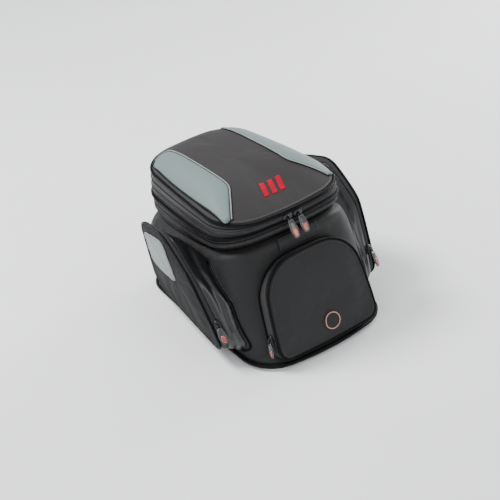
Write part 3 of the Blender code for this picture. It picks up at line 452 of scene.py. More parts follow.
def make_object(name, verts, faces, material, body=None, uvs=None, smooth=True,
                periods=(0, 0)):
    """Mesh object that rides on a body; uvs are one (u, v) per vertex, in metres, or None.

    periods are the lengths after which u and v close on themselves, or 0.
    """
    mesh = bpy.data.meshes.new(name)
    mesh.from_pydata([tuple(v) for v in verts], [], faces)
    layer = mesh.uv_layers.new(name="cloth")
    if uvs is not None:
        corners = np.empty(len(mesh.loops), dtype=np.int32)
        mesh.loops.foreach_get("vertex_index", corners)
        starts = np.empty(len(mesh.polygons), dtype=np.int32)
        mesh.polygons.foreach_get("loop_start", starts)
        corner_uv = np.asarray(uvs, float)[corners]
        for axis, period in enumerate(periods):
            if period:
                unwrapped(corner_uv, starts, period, axis)
        layer.data.foreach_set("uv", corner_uv.astype(np.float32).ravel())
    mesh.materials.append(material)
    mesh.polygons.foreach_set("use_smooth", [smooth] * len(mesh.polygons))
    made = bpy.data.objects.new(name, mesh)
    bpy.context.scene.collection.objects.link(made)
    if body:
        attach(made, body)
    return made


def face_outwards(made):
    """Turns the faces of a closed mesh outwards."""
    shape = bmesh.new()
    shape.from_mesh(made.data)
    bmesh.ops.recalc_face_normals(shape, faces=shape.faces)
    shape.to_mesh(made.data)
    shape.free()
    return made


def grid_uv(grid):
    """(u, v) in metres for a grid of points: u along each row's middle, v up its columns."""
    rows, columns = grid.shape[:2]
    u = along(grid[rows // 2])
    steps = np.linalg.norm(np.diff(grid, axis=0), axis=2)
    v = np.vstack([np.zeros(columns), np.cumsum(steps, axis=0)])
    v = np.broadcast_to(v.mean(axis=1, keepdims=True), v.shape)
    return np.stack([np.broadcast_to(u, (rows, columns)), v], axis=2)


def slab(name, grid, thickness, material, body, loop=True, normals=None):
    """Closed cloth of a given thickness whose outer face is the grid (rows, columns, xyz)."""
    rows, columns = grid.shape[:2]
    if normals is None:
        normals = grid_normals(grid, loop)
    inner = grid - normals * thickness
    verts = np.concatenate([grid.reshape(-1, 3), inner.reshape(-1, 3)])
    wide = np.concatenate([grid, grid[:, :1]], axis=1) if loop else grid
    uv = grid_uv(wide)[:, :columns].reshape(-1, 2)
    start = rows * columns
    faces = []
    last = columns if loop else columns - 1
    for r in range(rows - 1):
        for c in range(last):
            n = (c + 1) % columns
            a, b, d, e = r * columns + c, r * columns + n, (r + 1) * columns + n, (r + 1) * columns + c
            faces.append((a, b, d, e))
            faces.append((start + e, start + d, start + b, start + a))
    for c in range(last):
        n = (c + 1) % columns
        top = (rows - 1) * columns
        faces.append((c, start + c, start + n, n))
        faces.append((top + c, top + n, start + top + n, start + top + c))
    if not loop:
        for r in range(rows - 1):
            low, high = r * columns, (r + 1) * columns
            faces.append((low, high, start + high, start + low))
            low, high = low + columns - 1, high + columns - 1
            faces.append((low, start + low, start + high, high))
    girth = along(wide[rows // 2])[-1] if loop else 0
    made = make_object(name, verts, faces, material, body, np.vstack([uv, uv]),
                       periods=(girth, 0))
    return face_outwards(made)


def grid_normals(grid, loop):
    """Unit normals of a grid; they point out of the bag when its rows run anticlockwise."""
    if loop:
        across = np.roll(grid, -1, axis=1) - np.roll(grid, 1, axis=1)
    else:
        across = np.gradient(grid, axis=1)
    normals = np.cross(across, np.gradient(grid, axis=0))
    return normals / np.maximum(np.linalg.norm(normals, axis=2, keepdims=True), 1e-9)


def relaxed(verts, faces, sewn, pressure, slack, cap, bending=0.5, frames=16):
    """Cloth simulation of one layer of cloth that is sewn at some of its points.

    Returns the points after it; none has moved further than cap.
    """
    verts = np.asarray(verts, float)
    mesh = bpy.data.meshes.new("cloth_layer")
    mesh.from_pydata([tuple(v) for v in verts], [], faces)
    layer = bpy.data.objects.new("cloth_layer", mesh)
    bpy.context.scene.collection.objects.link(layer)
    layer.vertex_groups.new(name="sewn").add([int(i) for i in np.flatnonzero(sewn)], 1.0, "REPLACE")
    cloth = layer.modifiers.new("cloth", "CLOTH")
    settings = cloth.settings
    settings.quality = 6
    settings.mass = 0.15
    settings.tension_stiffness = settings.compression_stiffness = 20
    settings.shear_stiffness = 8
    settings.bending_stiffness = bending
    settings.vertex_group_mass = "sewn"
    settings.use_pressure = True
    settings.uniform_pressure_force = pressure
    settings.shrink_min = -slack
    settings.effector_weights.gravity = 0
    cloth.point_cache.frame_start = 1
    cloth.point_cache.frame_end = frames
    scene = bpy.context.scene
    for step in range(1, frames + 1):
        scene.frame_set(step)
    settled = layer.evaluated_get(bpy.context.evaluated_depsgraph_get()).to_mesh()
    moved = np.empty(len(verts) * 3)
    settled.vertices.foreach_get("co", moved)
    moved = moved.reshape(-1, 3)
    bpy.data.objects.remove(layer)
    scene.frame_set(1)
    travel = moved - verts
    length = np.linalg.norm(travel, axis=1, keepdims=True)
    return verts + travel * np.minimum(1.0, cap / np.maximum(length, 1e-9))


def relaxed_grid(grid, sewn, loop, **how):
    """The same for a grid of points; sewn is a mask of its rows and columns."""
    rows, columns = grid.shape[:2]
    faces = [(r * columns + c, r * columns + (c + 1) % columns,
              (r + 1) * columns + (c + 1) % columns, (r + 1) * columns + c)
             for r in range(rows - 1) for c in range(columns if loop else columns - 1)]
    return relaxed(grid.reshape(-1, 3), faces, sewn.ravel(), **how).reshape(grid.shape)


def disc(name, outline, face, back, rings, material, body, soften=None):
    """Closed form over an outline; face and back turn (points (n, 2), share) into points in space.

    share is 1 on the rim and 0 in the middle. soften holds cloth settings for the face.
    """
    middle, count = outline.mean(axis=0), len(outline)
    shares = np.linspace(1, 0, rings + 1)[:-1]
    flats = [middle + (outline - middle) * share for share in shares]
    tip = rings * count
    fan = [(r * count + i, r * count + (i + 1) % count, (r + 1) * count + (i + 1) % count,
            (r + 1) * count + i) for r in range(rings - 1) for i in range(count)]
    fan += [((rings - 1) * count + i, (rings - 1) * count + (i + 1) % count, tip)
            for i in range(count)]
    layers = []
    for surface in (face, back):
        points = [surface(flat, share) for flat, share in zip(flats, shares)]
        layers.append(np.vstack(points + [surface(middle[None, :], 0.0)]))
    if soften:
        sewn = np.zeros(tip + 1, bool)
        sewn[:count] = True
        layers[0] = relaxed(layers[0], fan, sewn, **soften)
    start = tip + 1
    faces = fan + [tuple(start + i for i in reversed(ring)) for ring in fan]
    faces += [(i, start + i, start + (i + 1) % count, (i + 1) % count) for i in range(count)]
    uv = np.vstack(flats + [middle[None, :]])
    made = make_object(name, np.vstack(layers), faces, material, body, np.vstack([uv, uv]))
    return face_outwards(made)


def line_frames(points, cyclic):
    """Tangents and a steady side direction along a line, made to close on a loop."""
    points = np.asarray(points, float)
    if cyclic:
        tangents = np.roll(points, -1, axis=0) - np.roll(points, 1, axis=0)
    else:
        tangents = np.gradient(points, axis=0)
    tangents /= np.linalg.norm(tangents, axis=1, keepdims=True)
    first = Vector(tangents[0])
    side = first.orthogonal().normalized()
    sides = []
    for k, tangent in enumerate(tangents):
        if k:
            side = Vector(tangents[k - 1]).rotation_difference(Vector(tangent)) @ side
        side = (side - Vector(tangent) * side.dot(Vector(tangent))).normalized()
        sides.append(side.copy())
    if cyclic:
        back = Vector(tangents[-1]).rotation_difference(first) @ sides[-1]
        gap = math.atan2(first.dot(sides[0].cross(back)), sides[0].dot(back))
        sides = [Matrix.Rotation(-gap * k / len(points), 3, Vector(t)) @ s
                 for k, (s, t) in enumerate(zip(sides, tangents))]
    return tangents, np.array([tuple(s) for s in sides])


def cord(name, points, radius, material, body, cyclic=True, around=12):
    """Round piping along the points, closed in a ring or with rounded ends."""
    points = np.asarray(points, float)
    tangents, sides = line_frames(points, cyclic)
    ups = np.cross(tangents, sides)
    radii = np.full(len(points), radius)
    if not cyclic:
        points = np.vstack([points[:1] - tangents[:1] * radius * 0.7, points,
                            points[-1:] + tangents[-1:] * radius * 0.7])
        sides = np.vstack([sides[:1], sides, sides[-1:]])
        ups = np.vstack([ups[:1], ups, ups[-1:]])
        radii = np.concatenate([[radius * 0.55], radii, [radius * 0.55]])
    turns = np.linspace(0, 2 * np.pi, around, endpoint=False)
    ring = (np.cos(turns)[None, :, None] * sides[:, None, :]
            + np.sin(turns)[None, :, None] * ups[:, None, :])
    verts = (points[:, None, :] + ring * radii[:, None, None]).reshape(-1, 3)
    run = along(points)
    uv = np.stack([np.broadcast_to(run[:, None], (len(points), around)),
                   np.broadcast_to(turns * radius, (len(points), around))], axis=2).reshape(-1, 2)
    faces = []
    count = len(points)
    for k in range(count if cyclic else count - 1):
        n = (k + 1) % count
        for j in range(around):
            m = (j + 1) % around
            faces.append((k * around + j, k * around + m, n * around + m, n * around + j))
    if not cyclic:
        faces.append(tuple(range(around - 1, -1, -1)))
        faces.append(tuple((count - 1) * around + j for j in range(around)))
    girth = run[-1] + np.linalg.norm(points[0] - points[-1]) if cyclic else 0
    return make_object(name, verts, faces, material, body, uv,
                       periods=(girth, 2 * np.pi * radius))


def boxes(name, places, material, body, rounding=0.3):
    """Many small rounded bricks in one mesh; each place is (centre, x, y, z half-axis vectors)."""
    corner = np.array([(x, y, z) for z in (-1, 1) for y in (-1, 1) for x in (-1, 1)], float)
    quads = ((0, 2, 3, 1), (4, 5, 7, 6), (0, 1, 5, 4), (2, 6, 7, 3), (0, 4, 6, 2), (1, 3, 7, 5))
    verts, faces, uvs = [], [], []
    for centre, x_axis, y_axis, z_axis in places:
        start = len(verts)
        basis = np.array([x_axis, y_axis, z_axis])
        for c in corner:
            narrow = np.array([1.0, 1.0 if c[2] < 0 else 1 - rounding, 1.0])
            narrow[0] = 1.0 if c[2] < 0 else 1 - rounding
            verts.append(np.asarray(centre) + (c * narrow) @ basis)
            uvs.append((c[0] * np.linalg.norm(x_axis), c[1] * np.linalg.norm(y_axis)))
        faces += [tuple(start + i for i in quad) for quad in quads]
    made = make_object(name, verts, faces, material, body, uvs, smooth=False)
    return face_outwards(made)


def stitches(name, points, normals, material, body, length=0.0034, gap=0.0016, radius=0.00032):
    """Row of sewn stitches: short threads that dip into the cloth at both ends."""
    run = along(points)
    count = max(1, int(run[-1] // (length + gap)))
    pitch = run[-1] / count
    at = lambda marks, rows: np.column_stack([np.interp(marks, run, rows[:, k]) for k in range(3)])
    profile = ((0.0, -0.9), (0.18, 0.25), (0.5, 0.5), (0.82, 0.25), (1.0, -0.9))
    around = 5
    turns = np.linspace(0, 2 * np.pi, around, endpoint=False)
    verts, faces, uvs = [], [], []
    share = length / (length + gap)
    for s in range(count):
        marks = np.array([(s + 0.5 + (t - 0.5) * share) * pitch for t, _ in profile])
        centres, ups = at(marks, points), at(marks, normals)
        ups /= np.linalg.norm(ups, axis=1, keepdims=True)
        ahead = centres[-1] - centres[0]
        ahead /= np.linalg.norm(ahead)
        start = len(verts)
        for k, (t, rise) in enumerate(profile):
            side = np.cross(ahead, ups[k])
            hub = centres[k] + ups[k] * rise * radius
            for turn in turns:
                verts.append(hub + (math.cos(turn) * side + math.sin(turn) * ups[k]) * radius)
                uvs.append((t * length, turn * radius))
        for k in range(len(profile) - 1):
            for j in range(around):
                m = (j + 1) % around
                low, high = start + k * around, start + (k + 1) * around
                faces.append((low + j, low + m, high + m, high + j))
        end = start + (len(profile) - 1) * around
        faces.append(tuple(start + j for j in range(around - 1, -1, -1)))
        faces.append(tuple(end + j for j in range(around)))
    return make_object(name, verts, faces, material, body, uvs)


def zip_teeth(name, points, normals, material, body, side, pitch=0.0016, reach=0.0024,
              height=0.0011):
    """One row of coil teeth along a line; side is +1 or -1, the half that the row belongs to."""
    run = along(points)
    count = int(run[-1] // pitch)
    places = []
    for s in range(count):
        mark = (s + (0.25 if side > 0 else 0.75)) * pitch
        centre = np.array([np.interp(mark, run, points[:, k]) for k in range(3)])
        up = np.array([np.interp(mark, run, normals[:, k]) for k in range(3)])
        before = np.array([np.interp(mark - pitch, run, points[:, k]) for k in range(3)])
        after = np.array([np.interp(mark + pitch, run, points[:, k]) for k in range(3)])
        ahead = (after - before) / np.linalg.norm(after - before)
        up = up / np.linalg.norm(up)
        across = np.cross(ahead, up) * side
        hub = centre + across * reach * 0.42
        places.append((hub, ahead * pitch * 0.21, across * reach * 0.5, up * height / 2))
    return boxes(name, places, material, body, 0.35)



# ------------------------------------------------------------------ body wall
def curve_through(values, knots, marks):
    """Smooth interpolation of rows of values between knots (cubic Hermite)."""
    slopes = np.gradient(values, knots, axis=0)
    out = []
    for mark in marks:
        k = min(int(np.searchsorted(knots, mark, side="right")) - 1, len(knots) - 2)
        span = knots[k + 1] - knots[k]
        t = (mark - knots[k]) / span
        out.append((2 * t ** 3 - 3 * t ** 2 + 1) * values[k] + (t ** 3 - 2 * t ** 2 + t) * span * slopes[k]
                   + (3 * t ** 2 - 2 * t ** 3) * values[k + 1] + (t ** 3 - t ** 2) * span * slopes[k + 1])
    return np.array(out)


def noise_at(points, scale, seed=0.0):
    """Smooth noise from -1 to 1 at each point."""
    return np.array([noise.noise(Vector(p) * scale + Vector((seed, seed, seed)))
                     for p in points.reshape(-1, 3)]).reshape(points.shape[:-1])


SEAM_COLUMNS = (0, FRONT_END, RIGHT_END, REAR_END)


def wall_surface(rows=64):
    """Outer face of the body wall: rows from the base to the neck, columns round the bag."""
    knots = np.array([share for share, _ in WALL_SECTIONS])
    loops = np.array([bag_loop(loop) for _, loop in WALL_SECTIONS])
    marks = np.linspace(0, 1, rows)
    flat = curve_through(loops, knots, marks)
    flare = np.exp(-marks / 0.035)[:, None, None]
    flat = flat * (1 - flare) + bag_loop(BASE, 0.0005)[None] * flare
    top = line_height(NECK_LINE, flat[..., 1])
    height = WALL_FOOT_Z + marks[:, None] * (top - WALL_FOOT_Z)
    return np.concatenate([flat, height[..., None]], axis=2)


def seam_share(columns, width=1.6):
    """1 on a vertical seam of the wall, falling to 0 a few columns away."""
    place = np.arange(columns)
    near = np.zeros(columns)
    for seam in SEAM_COLUMNS:
        away = np.minimum(abs(place - seam), columns - abs(place - seam))
        near = np.maximum(near, np.exp(-(away / width) ** 2))
    return near


def build_wall():
    grid = wall_surface()
    normals = grid_normals(grid, True)
    sewn = np.zeros(grid.shape[:2], bool)
    sewn[:2] = sewn[-2:] = True
    sewn[:, list(SEAM_COLUMNS)] = True
    grid = relaxed_grid(grid, sewn, True, pressure=0.8, slack=0.006, cap=0.0025, bending=0.8)
    rows, columns = grid.shape[:2]
    middle = np.sin(np.pi * np.linspace(0, 1, rows))[:, None]
    folds = noise_at(grid * np.array([1.0, 1.0, 0.45]), 26.0) * 0.0011 * middle
    folds += noise_at(grid, 75.0, 7.0) * 0.0003 * middle
    folds -= 0.0011 * seam_share(columns)[None, :] * middle ** 0.3
    grid = grid + normals * folds[..., None]
    shell = slab("body_wall", grid, FOAM, BODY_CLOTH, "bag")
    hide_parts("front_panel", "side_panel_left", "side_panel_right", "rear_panel")
    slab("body_lining", (grid - normals * (FOAM + 0.0004))[1:-1], 0.0006, LINING, "bag")
    for number, column in enumerate(SEAM_COLUMNS):
        for side in (-1, 1):
            line = grid[3:-3, (column + side) % columns]
            stitches(f"wall_stitches_{number}_{'front' if side < 0 else 'rear'}", line,
                     normals[3:-3, (column + side) % columns], THREAD, "bag")
    return grid, normals


WALL, WALL_NORMALS = build_wall()


def search_tree(grid, loop):
    rows, columns = grid.shape[:2]
    faces = [(r * columns + c, r * columns + (c + 1) % columns,
              (r + 1) * columns + (c + 1) % columns, (r + 1) * columns + c)
             for r in range(rows - 1) for c in range(columns if loop else columns - 1)]
    return BVHTree.FromPolygons([Vector(p) for p in grid.reshape(-1, 3)], faces)


WALL_TREE = search_tree(WALL, True)


def piece_tree(made):
    """Search tree of a finished piece, for placing other pieces on it."""
    mesh = made.data
    return BVHTree.FromPolygons([v.co for v in mesh.vertices], [tuple(p.vertices) for p in mesh.polygons])


def onto(tree, start, direction, clearance):
    """(point, normal) where a ray meets a surface, kept off it by the clearance."""
    direction = Vector(direction).normalized()
    hit, normal, _, _ = tree.ray_cast(Vector(start), direction)
    normal = normal * math.copysign(1, -normal.dot(direction))
    return np.array(hit + normal * clearance), np.array(normal)


def wall_line(starts, direction, clearance):
    found = [onto(WALL_TREE, start, direction, clearance) for start in starts]
    return np.array([f[0] for f in found]), np.array([f[1] for f in found])


def wall_patch(name, grid_starts, direction, thickness, material, border):
    """Sewn patch that follows the wall, with a stitched border."""
    found = [[onto(WALL_TREE, p, direction, 0.0010 + thickness) for p in row] for row in grid_starts]
    grid = np.array([[f[0] for f in row] for row in found])
    normals = np.array([[f[1] for f in row] for row in found])
    patch = slab(name, grid, thickness, material, "bag", loop=False, normals=normals)
    b = border
    ring = np.vstack([grid[b, b:-b], grid[b:-b, -b - 1], grid[-b - 1, b:-b][::-1], grid[b:-b, b][::-1]])
    ring_normals = np.vstack([normals[b, b:-b], normals[b:-b, -b - 1],
                              normals[-b - 1, b:-b][::-1], normals[b:-b, b][::-1]])
    stitches(name + "_stitches", closed(ring), closed(ring_normals), THREAD, "bag")
    return patch


# ------------------------------------------------------------------ base
def build_base():
    binding = lift(bag_loop(BASE, -BINDING_R - 0.0004), 0.0085 - BINDING_R / 2)
    piece = cord("base_edge_binding", binding, BINDING_R, PIPE_CLOTH, "bag")
    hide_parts("base_binding")
    for cad in ("base_tray", "base_plate", "lock_ring", "release_latch"):
        dress(cad, MOULDED)
    for number in (1, 2, 3):
        dress(f"lock_screw_{number}", STEEL)
    low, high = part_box("release_strap")
    ys = np.linspace(low.y, high.y, 40)
    rows = [np.column_stack([np.full(40, x), ys, np.full(40, high.z)])
            for x in np.linspace(high.x, low.x, 9)]
    grid = np.array(rows)
    grid[..., 2] -= 0.0001 * (1 + np.cos(np.linspace(0, 60, 40)))[None, :]
    strap = slab("release_strap_webbing", grid, (high.z - low.z) * 0.9, WEBBING, "release_latch",
                 loop=False)
    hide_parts("release_strap")


def dress(cad, material):
    """Gives a CAD node its material; its shape stays."""
    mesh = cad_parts[cad].data
    mesh.materials.clear()
    mesh.materials.append(material)
    if "cloth" not in mesh.uv_layers:
        mesh.uv_layers.new(name="cloth")


# ------------------------------------------------------------------ rim
SEAM_R = 0.0007


def ring_band(name, lower, upper, thickness, material, body, swell=0.0, rows=8,
              seams=()):
    """Band round the bag between two (loop, inset, height) lines, swelling out in its middle.

    Seams are dark lines along it, at shares of its height."""
    shares = np.linspace(0, 1, rows)

    def line_at(share, raised=0.0):
        out = swell * math.sin(math.pi * share) + raised
        low, high = (lift(bag_loop(loop, inset - out), height) for loop, inset, height in (lower, upper))
        return low * (1 - share) + high * share

    for number, share in enumerate(seams, 1):
        cord(f"{name}_seam_{number}", line_at(share, SEAM_R * 0.3), SEAM_R, PIPE_CLOTH, body, around=8)
    loops = [line_at(share) for share in shares]
    return slab(name, np.array(loops), thickness, material, body)


def rim_line(line, offset=0.0):
    return lambda y: line_height(line, y) + offset


def rim_zip(name, height, lower_body, upper_body):
    """Coil zip round the rim: one row of teeth on each body."""
    line = closed(lift(bag_loop(RIM, -0.0005), height))
    outward = closed(np.column_stack([flat_normals(bag_loop(RIM)), np.zeros(len(line) - 1)]))
    zip_teeth(f"{name}_teeth_lower", line, outward, COIL, lower_body, -1, height=0.0012)
    zip_teeth(f"{name}_teeth_upper", line, outward, COIL, upper_body, 1, height=0.0012)


TEETH_HALF = 0.0016
TAPE_GAP = 0.0002             # half the slit between the two tapes of a closed zip


def build_rim():
    reach = PIPING_R + 0.0004
    welt = cord("neck_welt", lift(bag_loop(NECK), rim_line(NECK_LINE, reach)), PIPING_R, PIPE_CLOTH,
                "bag")
    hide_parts("rim_piping")
    lower = ring_band("expansion_tape_lower", (NECK, 0.0006, rim_line(NECK_LINE, -0.0004)),
                      (RIM, 0.0, lambda y: zip_split(y) - TAPE_GAP), TAPE, TAPE_CLOTH, "bag", 0.0006,
                      seams=(0.45, 0.75))
    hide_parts("expansion_zip_lower")
    upper = ring_band("expansion_tape_upper", (RIM, 0.0, lambda y: zip_split(y) + TAPE_GAP),
                      (RIM, 0.0012, rim_line(MIDDLE_LINE, 0.0016)), TAPE, TAPE_CLOTH, "upper_frame",
                      0.0005, seams=(0.32, 0.62))
    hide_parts("expansion_zip_upper")
    rim_zip("expansion", zip_split, "bag", "upper_frame")
    middle = cord("middle_welt", lift(bag_loop(RIM, 0.001 - reach), rim_line(MIDDLE_LINE, -0.0004)),
                  PIPING_R * 1.1, PIPE_CLOTH, "upper_frame")
    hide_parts("middle_piping")
    band = ring_band("middle_band_cloth", (RIM, 0.0004, rim_line(MIDDLE_LINE, 0.0006)),
                     (RIM, 0.0, rim_line(MAIN_ZIP_LINE, -0.0052)), 0.003, DARK_BAND, "upper_frame", 0.0008,
                     seams=(0.5,))
    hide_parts("middle_band")
    centre = -0.0025
    tape = ring_band("main_tape_lower", (RIM, 0.0008, rim_line(MAIN_ZIP_LINE, -0.0060)),
                     (RIM, 0.0, rim_line(MAIN_ZIP_LINE, centre - TAPE_GAP)), TAPE, TAPE_CLOTH,
                     "upper_frame", rows=3)
    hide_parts("main_zip")
    rim_zip("main", rim_line(MAIN_ZIP_LINE, centre), "upper_frame", "lid")
    ring_band("main_tape_upper", (RIM, 0.0, rim_line(MAIN_ZIP_LINE, centre + TAPE_GAP)),
              (RIM, 0.0008, rim_line(MAIN_ZIP_LINE, 0.0012)), TAPE, TAPE_CLOTH, "lid", rows=3)
    build_bellows()


def build_bellows():
    """Folded cloth inside the rim.

    The rim zip runs close to a sloping plane, so the folds and their bend lie parallel to it."""
    folds, depth, reach = 3, 0.006, 0.0105
    low_inset, high_inset = 0.0135, 0.0035
    ys = np.linspace(RIM_FRONT_Y, RIM_REAR_Y, 60)
    slope, level = np.polyfit(ys, zip_split(ys), 1)
    rows = []
    for share in np.linspace(0, 1, folds * 8 + 1):
        inset = low_inset + (high_inset - low_inset) * share
        inward = inset + depth * (0.5 - 0.5 * math.cos(2 * math.pi * folds * share))
        offset = reach * (2 * share - 1)
        rows.append(lift(bag_loop(RIM, inward), lambda y, o=offset: level + slope * y + o))
    bellows = slab("expansion_bellows", np.array(rows), 0.0005, GLOSSY, None)
    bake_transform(bellows)


# ------------------------------------------------------------------ lid
LID_EDGE = bag_loop(LID)
LID_CENTRE = np.array([0.0, (LID[0] + LID[1]) / 2])


def lid_height(points):
    """Height of the lid's domed top at each (x, y): steep flanks, an even slope to the front."""
    rays, edge = points - LID_CENTRE, LID_EDGE - LID_CENTRE
    bearings = np.arctan2(edge[:, 1], edge[:, 0])
    order = np.argsort(bearings)
    reach = np.interp(np.arctan2(rays[:, 1], rays[:, 0]), bearings[order],
                      np.linalg.norm(edge, axis=1)[order], period=2 * math.pi)
    length = np.linalg.norm(rays, axis=1)
    soft = np.hypot(np.minimum(length / reach, 1.0), LID_SOFTNESS) - LID_SOFTNESS
    share = soft / (math.hypot(1.0, LID_SOFTNESS) - LID_SOFTNESS)
    forward = np.maximum(0, -rays[:, 1] / np.maximum(length, 1e-9)) ** 3
    power = LID_SIDE_POWER + (LID_FRONT_POWER - LID_SIDE_POWER) * forward
    return LID_EDGE_Z + LID_CROWN * (1 - share ** power)


def on_lid(lift_by):
    """Surface function for disc(): the dome, raised by a number or by a function of share."""
    def surface(flat, share):
        rise = lift_by(share) if callable(lift_by) else lift_by
        return np.column_stack([flat, lid_height(flat) + rise])
    return surface


def lid_normals(points):
    """Upward normals of the dome at each (x, y)."""
    step = 0.001
    slope = [(lid_height(points + d) - lid_height(points - d)) / (2 * step)
             for d in (np.array([step, 0]), np.array([0, step]))]
    found = np.column_stack([-slope[0], -slope[1], np.ones(len(points))])
    return found / np.linalg.norm(found, axis=1, keepdims=True)


def insert_outline(side):
    """Light insert along one side of the lid: straight inside, the lid's edge outside."""
    corners = ((-0.0995, -0.0868), (-0.0905, -0.0872), (-0.0553, -0.0361), (-0.0520, 0.1370),
               (-0.0800, 0.1375))
    outline = rounded_outline(corners, (0.0002, 0.0002, 0.0005, 0.0005, 0.005),
                              (0.004, 0.003, 0.034, 0.012, 0.014), (3, 16, 40, 10, 44), 8)
    if side > 0:
        outline = (outline * np.array([-1, 1]))[::-1]
    return outline


def edge_distance(points):
    """Distance of each (x, y) from the lid's edge."""
    return np.array([np.linalg.norm(LID_EDGE - p, axis=1).min() for p in points])


def build_lid():
    wobble = lambda flat: noise_at(np.column_stack([flat, np.zeros(len(flat))]), 22.0, 3.0) * 0.0005
    face = lambda flat, share: on_lid(0.0)(flat, share) + np.outer(wobble(flat) * (1 - share), (0, 0, 1))
    cover = disc("lid_cover", bag_loop(LID, 0.0006), face, on_lid(-LID_THICKNESS), 34, LID_CLOTH, "lid",
                 dict(pressure=0.6, slack=0.002, cap=0.0012, bending=2.0))
    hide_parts("lid_shell")
    skirt_top = LID_EDGE_Z - LID_THICKNESS + 0.0004
    skirt = ring_band("lid_skirt_cloth", (RIM, 0.0, rim_line(MAIN_ZIP_LINE, 0.0006)),
                      (LID, 0.0, lambda y: np.full_like(y, skirt_top)), 0.003, BAND_CLOTH, "lid", 0.0009,
                      seams=(0.5,))
    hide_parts("lid_skirt")
    welt = cord("lid_welt", lift(bag_loop(LID, 0.0008 - PIPING_R), LID_EDGE_Z - 0.001), PIPING_R * 1.15,
                PIPE_CLOTH, "lid")
    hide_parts("lid_piping")
    build_lid_border()
    tree = piece_tree(cover)
    for side, word in ((-1, "left"), (1, "right")):
        build_insert(tree, side, word)
    build_emblem(tree)
    outline = bag_loop(LID, 0.006)
    net = disc("lid_net_pocket", outline, flat_at(0.2125), flat_at(0.2115), 12, MESH_CLOTH, "lid")
    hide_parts("lid_mesh_pocket")
    rim = lift(bag_loop(LID, 0.0075), 0.2113)
    elastic = cord("lid_net_elastic", rim, 0.0011, WEBBING, "lid")
    abs(polygon_area(outline))
    build_hinge_strip()


def flat_at(z):
    return lambda flat, share: np.column_stack([flat, np.full(len(flat), z)])


def build_lid_border():
    """Raised tape that binds the lid's edge."""
    wide, high, low = 0.0042, 0.0013, 0.0006
    rows = []
    for share in np.linspace(0, 1, 9):
        loop = bag_loop(LID, 0.0004 + wide * share)
        rise = low + high * math.sin(math.pi * share) ** 0.6
        rows.append(np.column_stack([loop, lid_height(loop) + rise]))
    slab("lid_border_tape", np.array(rows), 0.0005, BAND_CLOTH, "lid")
    loop = bag_loop(LID, 0.0004 + wide * 0.72)
    rise = low + high * math.sin(math.pi * 0.72) ** 0.6
    stitches("lid_border_stitches", closed(np.column_stack([loop, lid_height(loop) + rise + 0.0001])),
             closed(lid_normals(loop)), THREAD, "lid")


def on_cover(tree, flat, rise):
    """Points at a height above the lid's finished cloth, over each (x, y)."""
    above, down = 0.3, (0, 0, -1)
    return np.array([onto(tree, (x, y, above), down, 0.0)[0] for x, y in flat]) + (0, 0, rise)


def build_insert(tree, side, word):
    outline = insert_outline(side)
    lift_by, thick, crown = 0.0008, 0.0012, 0.0012
    puffed = lambda share: lift_by + thick + crown * (1 - share ** 3)
    pad = disc(f"insert_{word}", outline, on_lid(puffed), on_lid(lift_by), 14, INSERT_CLOTH, "lid")
    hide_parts(f"lid_insert_{word}")
    rim = inset_outline(outline, -0.0020)
    points = np.column_stack([rim, lid_height(rim) + lift_by + 0.0013])
    outer = edge_distance(rim) < 0.0062
    start = int(np.flatnonzero(~outer & np.roll(outer, 1))[0])
    points, outer = np.roll(points, -start, axis=0), np.roll(outer, -start)
    inner = int(np.argmax(outer)) if outer.any() else len(outer)
    trim = cord(f"insert_trim_{word}", points[:inner], 0.0010, LIGHT_PIPE, "lid", cyclic=False)
    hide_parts(f"lid_insert_piping_{word}")
    if outer.any():
        cord(f"insert_seam_{word}", points[inner:], 0.0008, PIPE_CLOTH, "lid", cyclic=False)
    order = np.r_[start:len(outline), 0:start][:inner]
    beside, between = inset_outline(outline, -0.0050)[order], inset_outline(outline, -0.0035)[order]
    stitches(f"insert_stitches_{word}", on_cover(tree, beside, 0.0002), lid_normals(beside), THREAD,
             "lid")
    cord(f"insert_welt_{word}", on_cover(tree, between, 0.0004), 0.0009, PIPE_CLOTH, "lid",
         cyclic=False)


EMBLEM_CENTRE = np.array([0.0, -0.068])


def build_emblem(tree):
    """Generic embroidered mark: three slanted satin-stitched bars."""
    wide, tall, slant, apart = 0.0085, 0.028, 0.0095, 0.0145
    for number in (-1, 0, 1):
        x = number * apart
        corners = [(x - wide / 2 - slant / 2, -tall / 2), (x + wide / 2 - slant / 2, -tall / 2),
                   (x + wide / 2 + slant / 2, tall / 2), (x - wide / 2 + slant / 2, tall / 2)]
        outline = rounded_outline(corners, (0.0002,) * 4, (0.0016,) * 4, (8, 26, 8, 26), 5)
        outline = outline + EMBLEM_CENTRE
        threads = lambda flat, share: np.sin(flat[:, 1] * 2 * math.pi / 0.0011) * 0.00012
        face = lambda flat, share: (on_cover(tree, flat, 0.0006)
                                    + np.outer(0.0007 * (1 - share ** 4) + threads(flat, share), (0, 0, 1)))
        disc(f"mark_bar_{number + 2}", outline, face,
                           lambda flat, share: on_cover(tree, flat, 0.0001), 7, RED_THREAD, "lid")
    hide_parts("lid_emblem")


def build_hinge_strip():
    """Cloth strip at the rear, where the lid is hinged."""
    loop = bag_loop(RIM, -0.0012)
    rear = loop[(loop[:, 1] > 0.1) & (abs(loop[:, 0]) < 0.052)]
    rows = [lift(rear, z) for z in np.linspace(0.1800, 0.2050, 26)]
    normals = np.zeros((26, len(rear), 3))
    normals[..., 1] = 1
    strip = slab("lid_hinge_cloth", np.array(rows), 0.0006, TAPE_CLOTH, None, loop=False, normals=normals)
    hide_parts("lid_hinge_strip")
    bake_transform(strip)


# ------------------------------------------------------------------ front pocket
POCKET_UP = np.array([0, math.sin(POCKET_LEAN), math.cos(POCKET_LEAN)])
POCKET_OUT = np.array([0, -math.cos(POCKET_LEAN), math.sin(POCKET_LEAN)])


